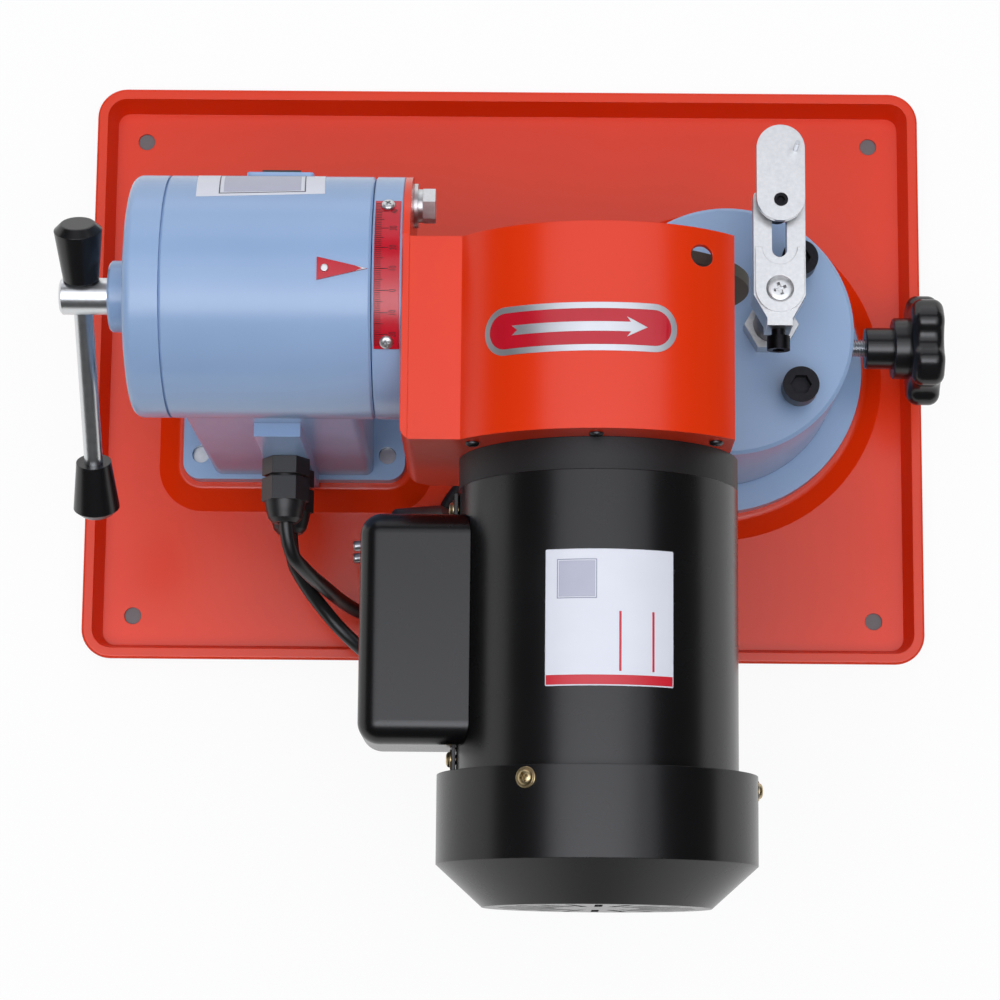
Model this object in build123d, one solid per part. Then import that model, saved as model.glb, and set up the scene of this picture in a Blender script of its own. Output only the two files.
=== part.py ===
from build123d import *
import math
import os

# A bench grinder for circular saw blades, in millimetres.
# X runs to the right along the tray, Y away from the motor's fan end, Z up.
# The origin is the centre of the four bench holes, on the tray's underside.

ALONG_X = (1, 0, 0)
ALONG_Y = (0, 1, 0)
ALONG_Z = (0, 0, 1)
BACK_X = (-1, 0, 0)
BACK_Y = (0, -1, 0)
DOWN = (0, 0, -1)

# Clearances
running_fit = 0.05
seat_gap = 0.3
thread_gap = 0.1
hole_gap = 0.5

# Pressed tray
tray_length = 394.0
tray_width = 276.0
tray_height = 17.0
sheet = 1.5
rim_lip = 3.5
rim_height = 3.0
rim_round = 1.3
wall_draft = 3.0
tray_corner = 14.0
bench_spacing_x = 350.0
bench_spacing_y = 232.0
bench_hole_radius = 4.0
plateau_height = 8.0
plateau_run = 10.0
plateau_margin = 3.0
plateau_round = 2.5

# Housing casting: a barrel on a hollow pedestal
axis_y = -6.0
pedestal_y = -4.0
axis_height = 186.5
housing_radius = 50.5
body_left = -138.5
body_length = 85.5
pedestal_x = -99.0
pedestal_length = 75.0
pedestal_width = 93.0
pedestal_wall = 6.0
pedestal_round = 4.0
barrel_floor = 8.0
flange_length = 104.5
flange_width = 97.6
flange_thickness = 8.0
flange_corner = 8.0
flange_bolt_spacing_x = 88.0
flange_bolt_spacing_y = 74.0
gland_pad_width = 20.0
gland_pad_proud = 6.0
barrel_edge = 1.0

# Bolts that hold the castings, put in from under the tray
base_bolt_radius = 4.0
base_bolt_flats = 13.0
base_bolt_head = 5.3
base_bolt_length = 5.0

# Housing cap
cap_thickness = 15.0
cap_round = 4.0
boss_radius = 15.0
boss_length = 10.5
cap_screw_circle = 41.0
cap_screw_radius = 2.5
cap_screw_head_radius = 4.25
cap_screw_head = 5.0
cap_screw_length = 18.0
cap_screw_key = 2.0

# Feed screw and tommy bar
shaft_radius = 7.75
shaft_out = 21.0
collar_radius = 12.0
collar_thickness = 5.0
thread_radius = 7.0
thread_end = 50.0
bar_radius = 4.0
bar_inset = 9.0
bar_tilt = 38.0
bar_length = 136.0
bar_knob_length = 25.0
bar_knob_wide = 10.0
bar_knob_narrow = 7.5
bar_knob_chamfer = 3.0
bar_knob_round = 1.0
bar_knob_depth = 19.0

# Tilting sleeve and sliding ram
sleeve_radius = 29.0
sleeve_flange_radius = 35.0
sleeve_flange = 6.0
ram_radius = 22.0
ram_setback = 20.0
key_width = 6.0
key_depth = 3.5
key_start = 38.0
key_length = 22.0
keyway_length = 56.0
nut_radius = 14.0
nut_length = 22.0
nut_flange_radius = 18.0
nut_flange = 4.0
screw_room = 9.0
screw_room_end = 60.0

# Scale ring, scale plate and pointer
ring_thickness = 12.1
ring_gap = 0.4
scale_thickness = 0.7
scale_half_angle = 37.0
scale_screw_angle = 33.5
scale_side = 0.4
pointer_length = 20.3
pointer_width = 9.5
pointer_gap = 1.3
pointer_thickness = 0.8
rivet_radius = 1.6
rivet_height = 0.9
rivet_inset = 3.1

# Bracket, guard and their fasteners
bracket_sheet = 3.0
bracket_front = -75.0
bracket_drop = 58.0
bracket_bend = 5.0
bracket_chamfer = 10.0
bracket_slope_start = 45.0
bracket_foot_right = 20.0
bracket_cheek_drop = 15.0
guard_radius = 74.0
guard_flat_height = 48.0
guard_right = 93.0
guard_back = 8.5
guard_hole_x = 79.3
guard_hole_y = -2.7
guard_hole_radius = 4.5
guard_tab_width = 14.0
guard_tab_drop = 12.0
guard_tab_sheet = 2.0
guard_screw_drop = 6.5
guard_screw_x = (-11.5, 37.6, 85.7)
bracket_bolt_circle = 40.0
bracket_bolt_count = 3
bracket_bolt_radius = 4.0
bracket_bolt_flats = 13.0
bracket_bolt_head = 5.3
bracket_bolt_length = 13.0
spring_washer_radius = 7.0
spring_washer_thickness = 2.0
flat_washer_radius = 9.3
flat_washer_thickness = 1.6
pan_head_share = 0.6
small_screw_radius = 1.5
small_screw_head_radius = 2.8
small_screw_head = 1.8
small_screw_length = 5.0

# Motor
motor_x = 40.0
motor_radius = 57.5
shell_wall = 2.5
shield_depth = 13.0
shell_length = 119.0
rear_shield_depth = 8.0
spigot_radius = 26.0
bearing_outer = 20.0
bearing_inner = 8.5
bearing_width = 12.0
bearing_lip = 1.5
bearing_boss_wall = 6.0
shaft_hole_gap = 1.5
stator_margin = 29.5
stator_inner = 31.0
air_gap = 0.5
winding_length = 15.0
winding_inner = 34.0
winding_outer = 52.0
motor_screw_circle = 43.0
motor_screw_radius = 3.0
motor_screw_head_radius = 5.0
motor_screw_head = 6.0
motor_screw_length = 12.0
motor_screw_key = 2.5
cover_radius = 65.3
cover_overlap = 2.0
cover_straight = 36.0
cover_taper = 17.0
cover_end_radius = 46.5
cover_sheet = 1.2
cover_slot_count = 20
cover_slot_inner = 17.0
cover_slot_outer = 40.0
cover_slot_width = 3.2
cover_lug_width = 12.0
cover_lug_depth = 6.0
cover_lug_gap = 0.2
cover_screw_turn = 26.4
cover_screw_count = 3
zinc_screw_radius = 2.0
zinc_screw_head_radius = 4.2
zinc_screw_head = 2.4
zinc_screw_length = 6.0
fan_gap = 6.0
fan_width = 16.0
fan_hub_radius = 14.0
fan_radius = 55.0
fan_blades = 8
fan_blade_thickness = 2.0
fan_disc_thickness = 2.5
fan_blade_root = 1.0

# Capacitor box on the motor's side
box_left = -57.0
box_start = 25.0
box_margin = 25.0
box_height = 50.0
box_round = 9.0
box_wall = 1.5
box_shell_gap = 0.2
box_tab_length = 9.0
box_tab_height = 13.0
lead_slot_length = 24.0
lead_slot_width = 12.0
lead_slot_start = 58.0
capacitor_radius = 18.0
capacitor_margin = 9.5

# Shaft, arbor and grinding wheel
arbor_shaft_radius = 8.0
arbor_radius = 13.0
arbor_flange_radius = 22.0
arbor_flange = 5.0
arbor_gap = 4.0
wheel_back = -5.5
wheel_radius = 62.5
wheel_bore = 16.0
wheel_web = 5.5
wheel_thickness = 8.0
wheel_rim_width = 10.5
wheel_dish_radius = 42.0
wheel_rim_back = 3.0
wheel_back_flat = 46.0
outer_flange_radius = 20.0
outer_flange = 3.5
arbor_nut_flats = 24.0
arbor_nut_height = 10.0
shaft_past_nut = 2.0

# Turntable
drum_x = 100.0
drum_y = 2.0
drum_radius = 56.5
drum_height = 81.0
drum_edge = 1.5
drum_roof = 18.0
base_radius = 68.7
base_thickness = 8.0
spigot_outer = 40.0
spigot_bore = 30.0
spigot_top_gap = 2.0
round_plateau_margin = 2.8
round_plateau_run = 8.5
base_bolt_circle = 62.5
base_bolt_depth = 6.0
drum_screw_circle = 42.0
drum_screw_angle = 43.0
drum_screw_radius = 5.0
drum_screw_head_radius = 8.0
drum_screw_head = 10.0
drum_screw_proud = 10.0
drum_screw_depth = 14.0
drum_screw_key = 4.0

# Star knob that clamps the drum to its spigot
knob_height = 63.5
knob_screw_radius = 4.0
groove_depth = 2.0
groove_height = 10.0
knob_gap = 8.5
knob_neck_radius = 9.5
knob_neck = 12.5
knob_collar_radius = 14.0
knob_collar = 7.0
knob_grip = 14.8
knob_grip_radius = 25.8
knob_lobes = 5
knob_lobe_round = 7.0
knob_scallop_radius = 8.0
knob_valley_radius = 20.5
knob_round = 5.0
knob_neck_round = 1.0
knob_screw_sunk = 16.0

# Tooth rest: post, arm, stop plate and finger
post_x = 118.7
post_y = 2.5
post_radius = 8.0
post_sunk = 12.0
post_nut_flats = 21.0
post_nut_height = 10.0
arm_top = 53.0
arm_height = 19.0
arm_bore_roof = 4.0
arm_width = 22.4
arm_length = 48.5
arm_shoulder = 2.8
arm_tab_width = 11.0
arm_tab_start = 7.3
arm_tab_end = 10.5
arm_block_end = 14.5
arm_plate = 8.0
arm_corner = 2.0
slot_width = 6.4
slot_start = 19.7
slot_end = 46.5
clamp_screw_radius = 3.0
clamp_screw_head_radius = 5.0
clamp_screw_head = 6.0
clamp_screw_proud = 3.0
clamp_screw_key = 2.5
clamp_screw_drop = 9.0
stop_plate_thickness = 1.5
stop_plate_width = 21.0
stop_plate_front = 4.9
stop_plate_back = 23.8
stop_notch_width = 15.2
stop_notch_depth = 7.7
stop_screw_y = 5.4
stop_screw_head_radius = 6.0
stop_screw_radius = 3.0
stop_screw_length = 3.5
finger_width = 20.8
finger_front = 33.5
finger_back = 76.0
finger_thickness = 3.0
stud_y = 42.8
stud_radius = 2.9
stud_spacer_radius = 6.0
stud_spacer = 6.0
stud_head_radius = 5.5
stud_head = 4.0
stud_key = 1.5
stud_key_depth = 2.5
finger_pin_radius = 1.0
finger_pin_x = 6.4
finger_pin_y = 65.1
finger_pin_height = 10.0

# Rocker switch on a cast pad at the barrel's far side
switch_x = -93.3
switch_pad_width = 28.0
switch_pad_height = 25.0
switch_pad_proud = 0.3
switch_pad_round = 2.0
switch_width = 21.0
switch_height = 15.0
switch_bezel = 1.5
switch_rim = 1.0
switch_depth = 16.0
switch_wall = 1.0
wire_passage_radius = 4.0
rocker_gap = 0.4
rocker_pivot = 0.5
rocker_proud = 1.5
rocker_rest = 7.0
rocker_root_share = 0.8

# Cable glands and cords
gland_x = -97.0
gland_height = 59.5
gland_spacing = 30.0
gland_flats = 18.4
gland_thread_radius = 7.5
gland_lock = 7.7
gland_neck = 1.2
gland_neck_radius = 7.6
gland_nut = 10.5
gland_dome = 9.6
gland_dome_radius = 5.6
gland_dome_low = 3.8
gland_dome_low_radius = 8.5
gland_dome_high = 7.7
gland_inside = 10.0
gland_cord_depth = 14.0
cord_radius = 3.25
cord_fit = 0.1
cord_run_share = 0.45
cord_rise = 0.35

# Route of the mains cord from the upper gland to the coil, past the gland's dome
mains_route = [
    (-97.0, -96.5, 89.5),
    (-87.0, -106.2, 73.0),
    (-80.3, -109.6, 52.0),
    (-74.2, -113.0, 33.0),
    (-66.0, -116.2, 17.0),
    (-52.0, -118.9, 7.6),
]
mains_run = 18.8

# Route of the motor lead from the lower gland up into the capacitor box
lead_route = [
    (-97.0, -95.5, 59.5),
    (-90.6, -107.0, 49.5),
    (-83.7, -115.8, 42.0),
    (-75.5, -125.3, 38.5),
    (-66.0, -134.5, 40.0),
    (-56.0, -143.5, 47.5),
    (-46.5, -150.5, 61.0),
    (-38.5, -155.0, axis_height - 106.5),
    (-33.8, -157.2, axis_height - 81.5),
    (-32.2, -158.0, axis_height - 49.5),
    (-32.0, -158.2, axis_height - 20.5),
]

# Coil of mains cord under the motor, and the plug that lies on it
coil_x = 6.0
coil_y = -84.0
coil_radius = 40.7
coil_gap = 0.6
coil_start_angle = -100.0
coil_half_turns_in = 5
coil_half_turns_out = 4
plug_tail_x = 16.0
plug_tail_y = -81.5
plug_heading = 186.0
plug_rise = 4.0
plug_roll = -8.0
plug_radius = 18.5
plug_tail = 24.0
plug_tail_radius = 5.0
plug_neck_radius = 7.5
plug_body = 43.0
plug_shoulder = 20.0
plug_round = 3.0
pin_radius = 2.4
pin_spacing = 19.0
pin_length = 19.0
plug_route = [
    (45.5, -127.9, 10.4),
    (61.6, -120.6, 11.2),
    (68.6, -104.6, 14.6),
    (63.6, -87.8, 19.6),
    (49.0, -78.0, 24.8),
]
plug_first_run = 17.0
plug_run = 16.0

# Places worked out from the sizes above
plateau_top = sheet + plateau_height
flange_top = plateau_top + flange_thickness
body_right = body_left + body_length
cap_left = body_left - cap_thickness
boss_left = cap_left - boss_length
shaft_left = boss_left - shaft_out
ring_left = body_right + ring_gap
ring_right = ring_left + ring_thickness
plate_right = ring_right + bracket_sheet
pedestal_front = pedestal_y - pedestal_width / 2
pad_front = pedestal_front - gland_pad_proud
guard_flat = axis_height + guard_flat_height
guard_inner = guard_radius - bracket_sheet
flat_reach = math.sqrt(guard_radius**2 - guard_flat_height**2)
drum_bottom = plateau_top + base_thickness + seat_gap
drum_top = drum_bottom + drum_height
arm_top_z = drum_top + arm_top
bar_up = shaft_radius + seat_gap + bar_knob_length
bar_down = bar_length - bar_up
coil_low = sheet + cord_radius + cord_rise
coil_pitch = 2 * cord_radius + coil_gap
coil_high = coil_low + coil_pitch
plug_lift = math.sin(math.radians(plug_rise))
plug_height = coil_high + cord_radius + cord_rise + plug_radius - (plug_tail + plug_shoulder) * plug_lift
stator_start = shield_depth + stator_margin
stator_length = shell_length - 2 * stator_margin
fan_start = shield_depth + shell_length + rear_shield_depth + fan_gap
box_length = shell_length - box_margin
capacitor_length = box_length - 2 * capacitor_margin
wheel_front = wheel_back + wheel_thickness
wheel_web_front = wheel_back + wheel_web
switch_face = axis_y + housing_radius + switch_pad_proud
gland_end = pad_front - gland_lock - gland_neck - gland_nut - gland_dome


def block(x0, x1, y0, y1, z0, z1):
    """A box between its two corners."""
    return Pos((x0 + x1) / 2, (y0 + y1) / 2, (z0 + z1) / 2) * Box(x1 - x0, y1 - y0, z1 - z0)


def rod(radius, start, direction, length):
    """A round bar from a point along a direction."""
    low = (Align.CENTER, Align.CENTER, Align.MIN)
    return Plane(origin=start, z_dir=direction) * Cylinder(radius, length, align=low)


def hexagon(flats, start, direction, length, side=None):
    """A hexagonal bar; side is a direction square to one of its corners' planes."""
    plane = Plane(origin=start, z_dir=direction, x_dir=side)
    return extrude(plane * RegularPolygon(flats / 2, 6, major_radius=False), length)


def turned(profile, origin, along, outward):
    """A solid of revolution from pairs of distance along the axis and radius."""
    points = []
    for distance, radius in profile:
        points.append(Vector(origin) + Vector(along) * distance + Vector(outward) * radius)
    return revolve(make_face(Polyline(*points, close=True)), Axis(origin, along))


def ring(outer, inner, start, direction, length):
    """A tube or washer."""
    return rod(outer, start, direction, length) - rod(inner, start, direction, length)


def drafted(low, high, z_low, z_high, centre=(0, 0)):
    """A block with rounded corners whose walls lean, from two (length, width, radius) outlines."""
    bottom = Pos(centre[0], centre[1], z_low) * RectangleRounded(*low)
    top = Pos(centre[0], centre[1], z_high) * RectangleRounded(*high)
    return loft([bottom, top], ruled=True)


def step_along(start, direction, distance):
    """A point at a distance from another along a direction."""
    return Vector(start) + Vector(direction) * distance


def socket_screw(seat, out, radius, length, head_radius, head_height, key):
    """A socket head screw: seat is the head's underside, out points from thread to head."""
    shank = rod(radius, step_along(seat, out, -length), out, length)
    head = rod(head_radius, seat, out, head_height)
    top = step_along(seat, out, head_height)
    socket = hexagon(2 * key, step_along(top, out, -head_height / 2), out, head_height / 2)
    return shank + head - socket


def hex_bolt(seat, out, radius, length, flats, head_height):
    """A hexagon head bolt."""
    return rod(radius, step_along(seat, out, -length), out, length) + hexagon(flats, seat, out, head_height)


def pan_screw(seat, out, radius, length, head_radius, head_height):
    """A small screw with a domed head."""
    head = rod(head_radius, seat, out, head_height)
    rim = head.edges().sort_by(Axis(seat, out))[-1]
    shank = rod(radius, step_along(seat, out, -length), out, length)
    return shank + fillet(rim, head_height * pan_head_share)


def corners(spacing_x, spacing_y, centre=(0, 0)):
    """The four places of a rectangular pattern."""
    places = []
    for sx in (-1, 1):
        for sy in (-1, 1):
            places.append((centre[0] + sx * spacing_x / 2, centre[1] + sy * spacing_y / 2))
    return places


def round_the_axis(count, radius, first=0.0):
    """Pairs of (Y, Z) places on a circle about the housing axis."""
    return [on_circle((axis_y, axis_height), radius, first + 360 / count * n) for n in range(count)]


def flange_places():
    """Places of the bolts that hold the pedestal."""
    return corners(flange_bolt_spacing_x, flange_bolt_spacing_y, (pedestal_x, pedestal_y))


def on_circle(centre, radius, degrees):
    """A pair of places on a circle about a centre, at an angle."""
    turn = math.radians(degrees)
    return centre[0] + radius * math.cos(turn), centre[1] + radius * math.sin(turn)


def base_places():
    """Places of the bolts that hold the turntable base."""
    return [on_circle((drum_x, drum_y), base_bolt_circle, 45 + 90 * n) for n in range(4)]


# Tray

def square_plateau():
    """The raised panel under the pedestal, floor to top, as the outer face of the sheet."""
    length = flange_length + 2 * plateau_margin
    width = flange_width + 2 * plateau_margin
    corner = flange_corner + plateau_margin
    low = (length + 2 * plateau_run, width + 2 * plateau_run, corner + plateau_run)
    raised = drafted(low, (length, width, corner), sheet, plateau_top, (pedestal_x, pedestal_y))
    return fillet(raised.edges().group_by(Axis.Z)[-1], plateau_round)


def round_plateau():
    """The raised panel under the turntable."""
    top_radius = base_radius + round_plateau_margin
    low_radius = top_radius + round_plateau_run
    profile = [(sheet, 0), (sheet, low_radius), (plateau_top, top_radius), (plateau_top, 0)]
    raised = turned(profile, (drum_x, drum_y, 0), ALONG_Z, ALONG_X)
    return fillet(raised.edges().group_by(Axis.Z)[-1], plateau_round)


def make_tray():
    """A pressed sheet pan with a rolled rim, two raised panels and bench holes."""
    inset = rim_lip + wall_draft
    floor = (tray_length - 2 * inset, tray_width - 2 * inset, tray_corner - inset)
    brim = (tray_length - 2 * rim_lip, tray_width - 2 * rim_lip, tray_corner - rim_lip)
    floor_inside = (floor[0] - 2 * sheet, floor[1] - 2 * sheet, floor[2] - sheet)
    brim_inside = (brim[0] - 2 * sheet, brim[1] - 2 * sheet, brim[2] - sheet)
    pan = drafted(floor, brim, 0, tray_height)
    hollow = drafted(floor_inside, brim_inside, sheet, tray_height)
    outline = Pos(0, 0, tray_height - rim_height) * RectangleRounded(tray_length, tray_width, tray_corner)
    rim = extrude(outline, rim_height)
    rim = fillet(rim.edges().group_by(Axis.Z)[0] + rim.edges().group_by(Axis.Z)[-1], rim_round)
    tray = pan + rim - hollow
    for panel in (square_plateau(), round_plateau()):
        tray = tray + panel - Pos(0, 0, -sheet) * panel
    for x, y in corners(bench_spacing_x, bench_spacing_y):
        tray -= rod(bench_hole_radius, (x, y, 0), ALONG_Z, sheet)
    for x, y in flange_places() + base_places():
        tray -= rod(base_bolt_radius + hole_gap, (x, y, 0), ALONG_Z, plateau_top)
    return tray


def make_base_bolts():
    """Hexagon bolts from under the raised panels into the pedestal and the turntable base."""
    seat = plateau_top - sheet
    bolts = []
    for x, y in flange_places():
        length = sheet + base_bolt_length
        bolts.append(hex_bolt((x, y, seat), DOWN, base_bolt_radius, length, base_bolt_flats, base_bolt_head))
    for x, y in base_places():
        length = sheet + base_bolt_depth - seat_gap
        bolts.append(hex_bolt((x, y, seat), DOWN, base_bolt_radius, length, base_bolt_flats, base_bolt_head))
    return Compound(bolts)


# Housing

def gland_places():
    """Heights of the two glands, the lower first."""
    return [gland_height, gland_height + gland_spacing]


def make_housing():
    """The casting: barrel, hollow pedestal, foot flange, gland pad and switch pad."""
    left = (body_left, axis_y, axis_height)
    barrel = rod(housing_radius, left, ALONG_X, body_length)
    barrel = chamfer(barrel.edges().filter_by(GeomType.CIRCLE), barrel_edge)
    x0 = pedestal_x - pedestal_length / 2
    x1 = pedestal_x + pedestal_length / 2
    y0 = pedestal_front
    y1 = pedestal_y + pedestal_width / 2
    pedestal = block(x0, x1, y0, y1, flange_top, axis_height)
    pedestal = fillet(pedestal.edges().filter_by(Axis.Z), pedestal_round)
    foot_outline = RectangleRounded(flange_length, flange_width, flange_corner)
    foot = extrude(Pos(pedestal_x, pedestal_y, plateau_top) * foot_outline, flange_thickness)
    pad_top = axis_height - housing_radius + gland_pad_proud
    pad_half = gland_pad_width / 2
    pad = block(gland_x - pad_half, gland_x + pad_half, pad_front, pedestal_y, flange_top, pad_top)
    casting = barrel + pedestal + foot + pad + switch_pad()
    cavity_top = axis_height - sleeve_radius - barrel_floor
    casting -= block(
        x0 + pedestal_wall,
        x1 - pedestal_wall,
        y0 + pedestal_wall,
        y1 - pedestal_wall,
        plateau_top,
        cavity_top,
    )
    casting -= rod(sleeve_radius + running_fit, left, ALONG_X, body_length)
    casting -= rod(sleeve_flange_radius + running_fit, left, ALONG_X, sleeve_flange + 2 * seat_gap)
    for x, y in flange_places():
        casting -= rod(base_bolt_radius + thread_gap, (x, y, plateau_top), ALONG_Z, flange_thickness)
    for z in gland_places():
        wall = gland_pad_proud + pedestal_wall
        casting -= rod(gland_thread_radius + thread_gap, (gland_x, pad_front, z), ALONG_Y, wall)
    for y, z in round_the_axis(4, cap_screw_circle, 45):
        depth = cap_screw_length - cap_thickness + cap_screw_head + 2 * seat_gap
        casting -= rod(cap_screw_radius + thread_gap, (body_left, y, z), ALONG_X, depth)
    casting -= switch_body(seat_gap)
    passage_y = switch_face - switch_depth + wire_passage_radius
    passage_length = axis_height - cavity_top
    return casting - rod(wire_passage_radius, (switch_x, passage_y, cavity_top), ALONG_Z, passage_length)


def make_housing_cap():
    """The turned end cap with the feed screw's boss."""
    face = (cap_left, axis_y, axis_height)
    cap = rod(housing_radius, face, ALONG_X, cap_thickness)
    cap = fillet(cap.edges().sort_by(Axis.X)[0], cap_round)
    boss = rod(boss_radius, (boss_left, axis_y, axis_height), ALONG_X, boss_length + cap_thickness / 2)
    boss = chamfer(boss.edges().sort_by(Axis.X)[0], barrel_edge)
    cap += boss
    recess = collar_thickness + 2 * seat_gap
    depth = boss_length + cap_thickness
    cap -= rod(shaft_radius + running_fit, (boss_left, axis_y, axis_height), ALONG_X, depth)
    cap -= rod(collar_radius + seat_gap, (body_left - recess, axis_y, axis_height), ALONG_X, recess)
    for y, z in round_the_axis(4, cap_screw_circle, 45):
        cap -= rod(cap_screw_radius + hole_gap, (cap_left, y, z), ALONG_X, cap_thickness)
        cap -= rod(cap_screw_head_radius + hole_gap, (cap_left, y, z), ALONG_X, cap_screw_head + seat_gap)
    return cap


def make_cap_screws():
    """Socket screws sunk in the cap's face."""
    screws = []
    for y, z in round_the_axis(4, cap_screw_circle, 45):
        seat = (cap_left + cap_screw_head + seat_gap, y, z)
        screws.append(
            socket_screw(
                seat,
                BACK_X,
                cap_screw_radius,
                cap_screw_length,
                cap_screw_head_radius,
                cap_screw_head,
                cap_screw_key,
            )
        )
    return Compound(screws)


def make_pointer():
    """The triangular pointer laid over the top of the barrel, its tip towards the scale."""
    tip = body_right - pointer_gap
    tail = tip - pointer_length
    outline = Polyline(
        (tip, axis_y, axis_height),
        (tail, axis_y + pointer_width / 2, axis_height),
        (tail, axis_y - pointer_width / 2, axis_height),
        close=True,
    )
    prism = extrude(make_face(outline), 2 * housing_radius, dir=ALONG_Z)
    start = (tail, axis_y, axis_height)
    skin = ring(housing_radius + pointer_thickness, housing_radius, start, ALONG_X, pointer_length)
    return prism & skin


def make_pointer_rivet():
    """The round head of the rivet on the pointer."""
    x = body_right - pointer_gap - pointer_length + rivet_inset
    z = axis_height + housing_radius + pointer_thickness
    head = rod(rivet_radius, (x, axis_y, z), ALONG_Z, rivet_height)
    return fillet(head.edges().sort_by(Axis.Z)[-1], rivet_height / 2)


# Switch

def switch_pad():
    """The flat pad cast on the barrel for the switch, its face just outside the barrel."""
    pad = block(
        switch_x - switch_pad_width / 2,
        switch_x + switch_pad_width / 2,
        axis_y + sleeve_flange_radius,
        switch_face,
        axis_height - switch_pad_height / 2,
        axis_height + switch_pad_height / 2,
    )
    return fillet(pad.edges().filter_by(Axis.Y), switch_pad_round)


def switch_body(gap):
    """The switch's box behind its bezel, grown by a gap."""
    half_width = switch_width / 2 - switch_rim + gap
    half_height = switch_height / 2 - switch_rim + gap
    return block(
        switch_x - half_width,
        switch_x + half_width,
        switch_face - switch_depth - gap,
        switch_face,
        axis_height - half_height,
        axis_height + half_height,
    )


def make_switch_bezel():
    """The switch's box and bezel, open at the front for the rocker."""
    face = Plane(origin=(switch_x, switch_face, axis_height), z_dir=ALONG_Y, x_dir=ALONG_X)
    outline = face * RectangleRounded(switch_width, switch_height, switch_rim)
    bezel = extrude(outline, switch_bezel)
    front = bezel.edges().group_by(Axis.Y)[-1]
    bezel = fillet(front, switch_bezel / 3)
    well = switch_body(-switch_wall)
    mouth = Pos(0, switch_bezel + switch_wall, 0) * well
    return bezel + switch_body(0) - well - mouth


def make_switch_rocker():
    """The rocker: two flats that meet over its pivot, one end pressed in."""
    half_width = switch_width / 2 - switch_rim - switch_wall - rocker_gap
    reach = switch_height / 2 - switch_rim - switch_wall - rocker_gap
    top = switch_bezel - rocker_pivot
    slope = reach * math.tan(math.radians(rocker_rest))
    side = (switch_x - half_width, switch_face + rocker_pivot, axis_height)
    pivot = Plane(origin=side, z_dir=ALONG_X, x_dir=ALONG_Y)
    crest = top + rocker_proud
    outline = [
        (top + rocker_proud / 2, 0),
        (crest - slope / 2, reach),
        (-reach / 2, reach * rocker_root_share),
        (-reach, 0),
        (-reach / 2, -reach * rocker_root_share),
        (crest - slope / 2, -reach),
    ]
    flat = make_face(Polyline(*[pivot.from_local_coords(Vector(a, b)) for a, b in outline], close=True))
    rocker = extrude(flat, 2 * half_width, dir=ALONG_X)
    return rocker.rotate(Axis(side, ALONG_X), -rocker_rest / 2)


# Feed screw and tommy bar

def bar_direction():
    """Direction of the tommy bar, towards its raised end."""
    return Vector(0, math.cos(math.radians(bar_tilt)), math.sin(math.radians(bar_tilt)))


def bar_centre():
    """Where the tommy bar crosses the feed screw."""
    return Vector(shaft_left + bar_inset, axis_y, axis_height)


def make_feed_screw():
    """The plated shaft with its cross hole, thrust collar and threaded end."""
    start = (shaft_left, axis_y, axis_height)
    collar_right = body_left - seat_gap
    shaft = rod(shaft_radius, start, ALONG_X, collar_right - shaft_left)
    shaft = chamfer(shaft.edges().sort_by(Axis.X)[0], barrel_edge)
    collar_left = collar_right - collar_thickness
    shaft += rod(collar_radius, (collar_left, axis_y, axis_height), ALONG_X, collar_thickness)
    shaft += rod(thread_radius, (collar_right, axis_y, axis_height), ALONG_X, thread_end)
    across = step_along(bar_centre(), bar_direction(), -2 * shaft_radius)
    return shaft - rod(bar_radius + running_fit, across, bar_direction(), 4 * shaft_radius)


def make_tommy_bar():
    """The plain bar, through the shaft and into both knobs."""
    low = step_along(bar_centre(), bar_direction(), -(bar_down - bar_knob_length + bar_knob_depth))
    length = bar_down + bar_up - 2 * (bar_knob_length - bar_knob_depth)
    return rod(bar_radius, low, bar_direction(), length)


def bar_knob(inner_end, out):
    """A tapered knob: narrow where the bar goes in, wide and chamfered outside."""
    profile = [
        (0, 0),
        (0, bar_knob_narrow),
        (bar_knob_length - bar_knob_chamfer, bar_knob_wide),
        (bar_knob_length, bar_knob_wide - bar_knob_chamfer),
        (bar_knob_length, 0),
    ]
    across = Vector(1, 0, 0)
    knob = turned(profile, inner_end, out, across)
    knob = fillet(knob.edges().sort_by(Axis(inner_end, out))[-1], bar_knob_round)
    return knob - rod(bar_radius, inner_end, out, bar_knob_depth)


def make_tommy_knobs():
    """The two knobs on the tommy bar."""
    up = bar_direction()
    high = bar_knob(step_along(bar_centre(), up, bar_up - bar_knob_length), up)
    low = bar_knob(step_along(bar_centre(), up, bar_knob_length - bar_down), -up)
    return Compound([high, low])


# Sleeve, ram, nut and ring

def make_tilt_sleeve():
    """The sleeve that turns in the barrel, with an end wall and a key for the ram."""
    left = body_left + seat_gap
    start = (left, axis_y, axis_height)
    length = body_right - seat_gap - left
    sleeve = rod(sleeve_radius, start, ALONG_X, length)
    sleeve += rod(sleeve_flange_radius, start, ALONG_X, sleeve_flange)
    inside = (left + sleeve_flange, axis_y, axis_height)
    sleeve -= rod(ram_radius + running_fit, inside, ALONG_X, length)
    sleeve -= rod(thread_radius + hole_gap, start, ALONG_X, sleeve_flange)
    key_left = body_left + key_start
    key = block(
        key_left,
        key_left + key_length,
        axis_y - key_width / 2,
        axis_y + key_width / 2,
        axis_height + ram_radius - key_depth,
        axis_height + ram_radius + key_depth,
    )
    return sleeve + key


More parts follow.
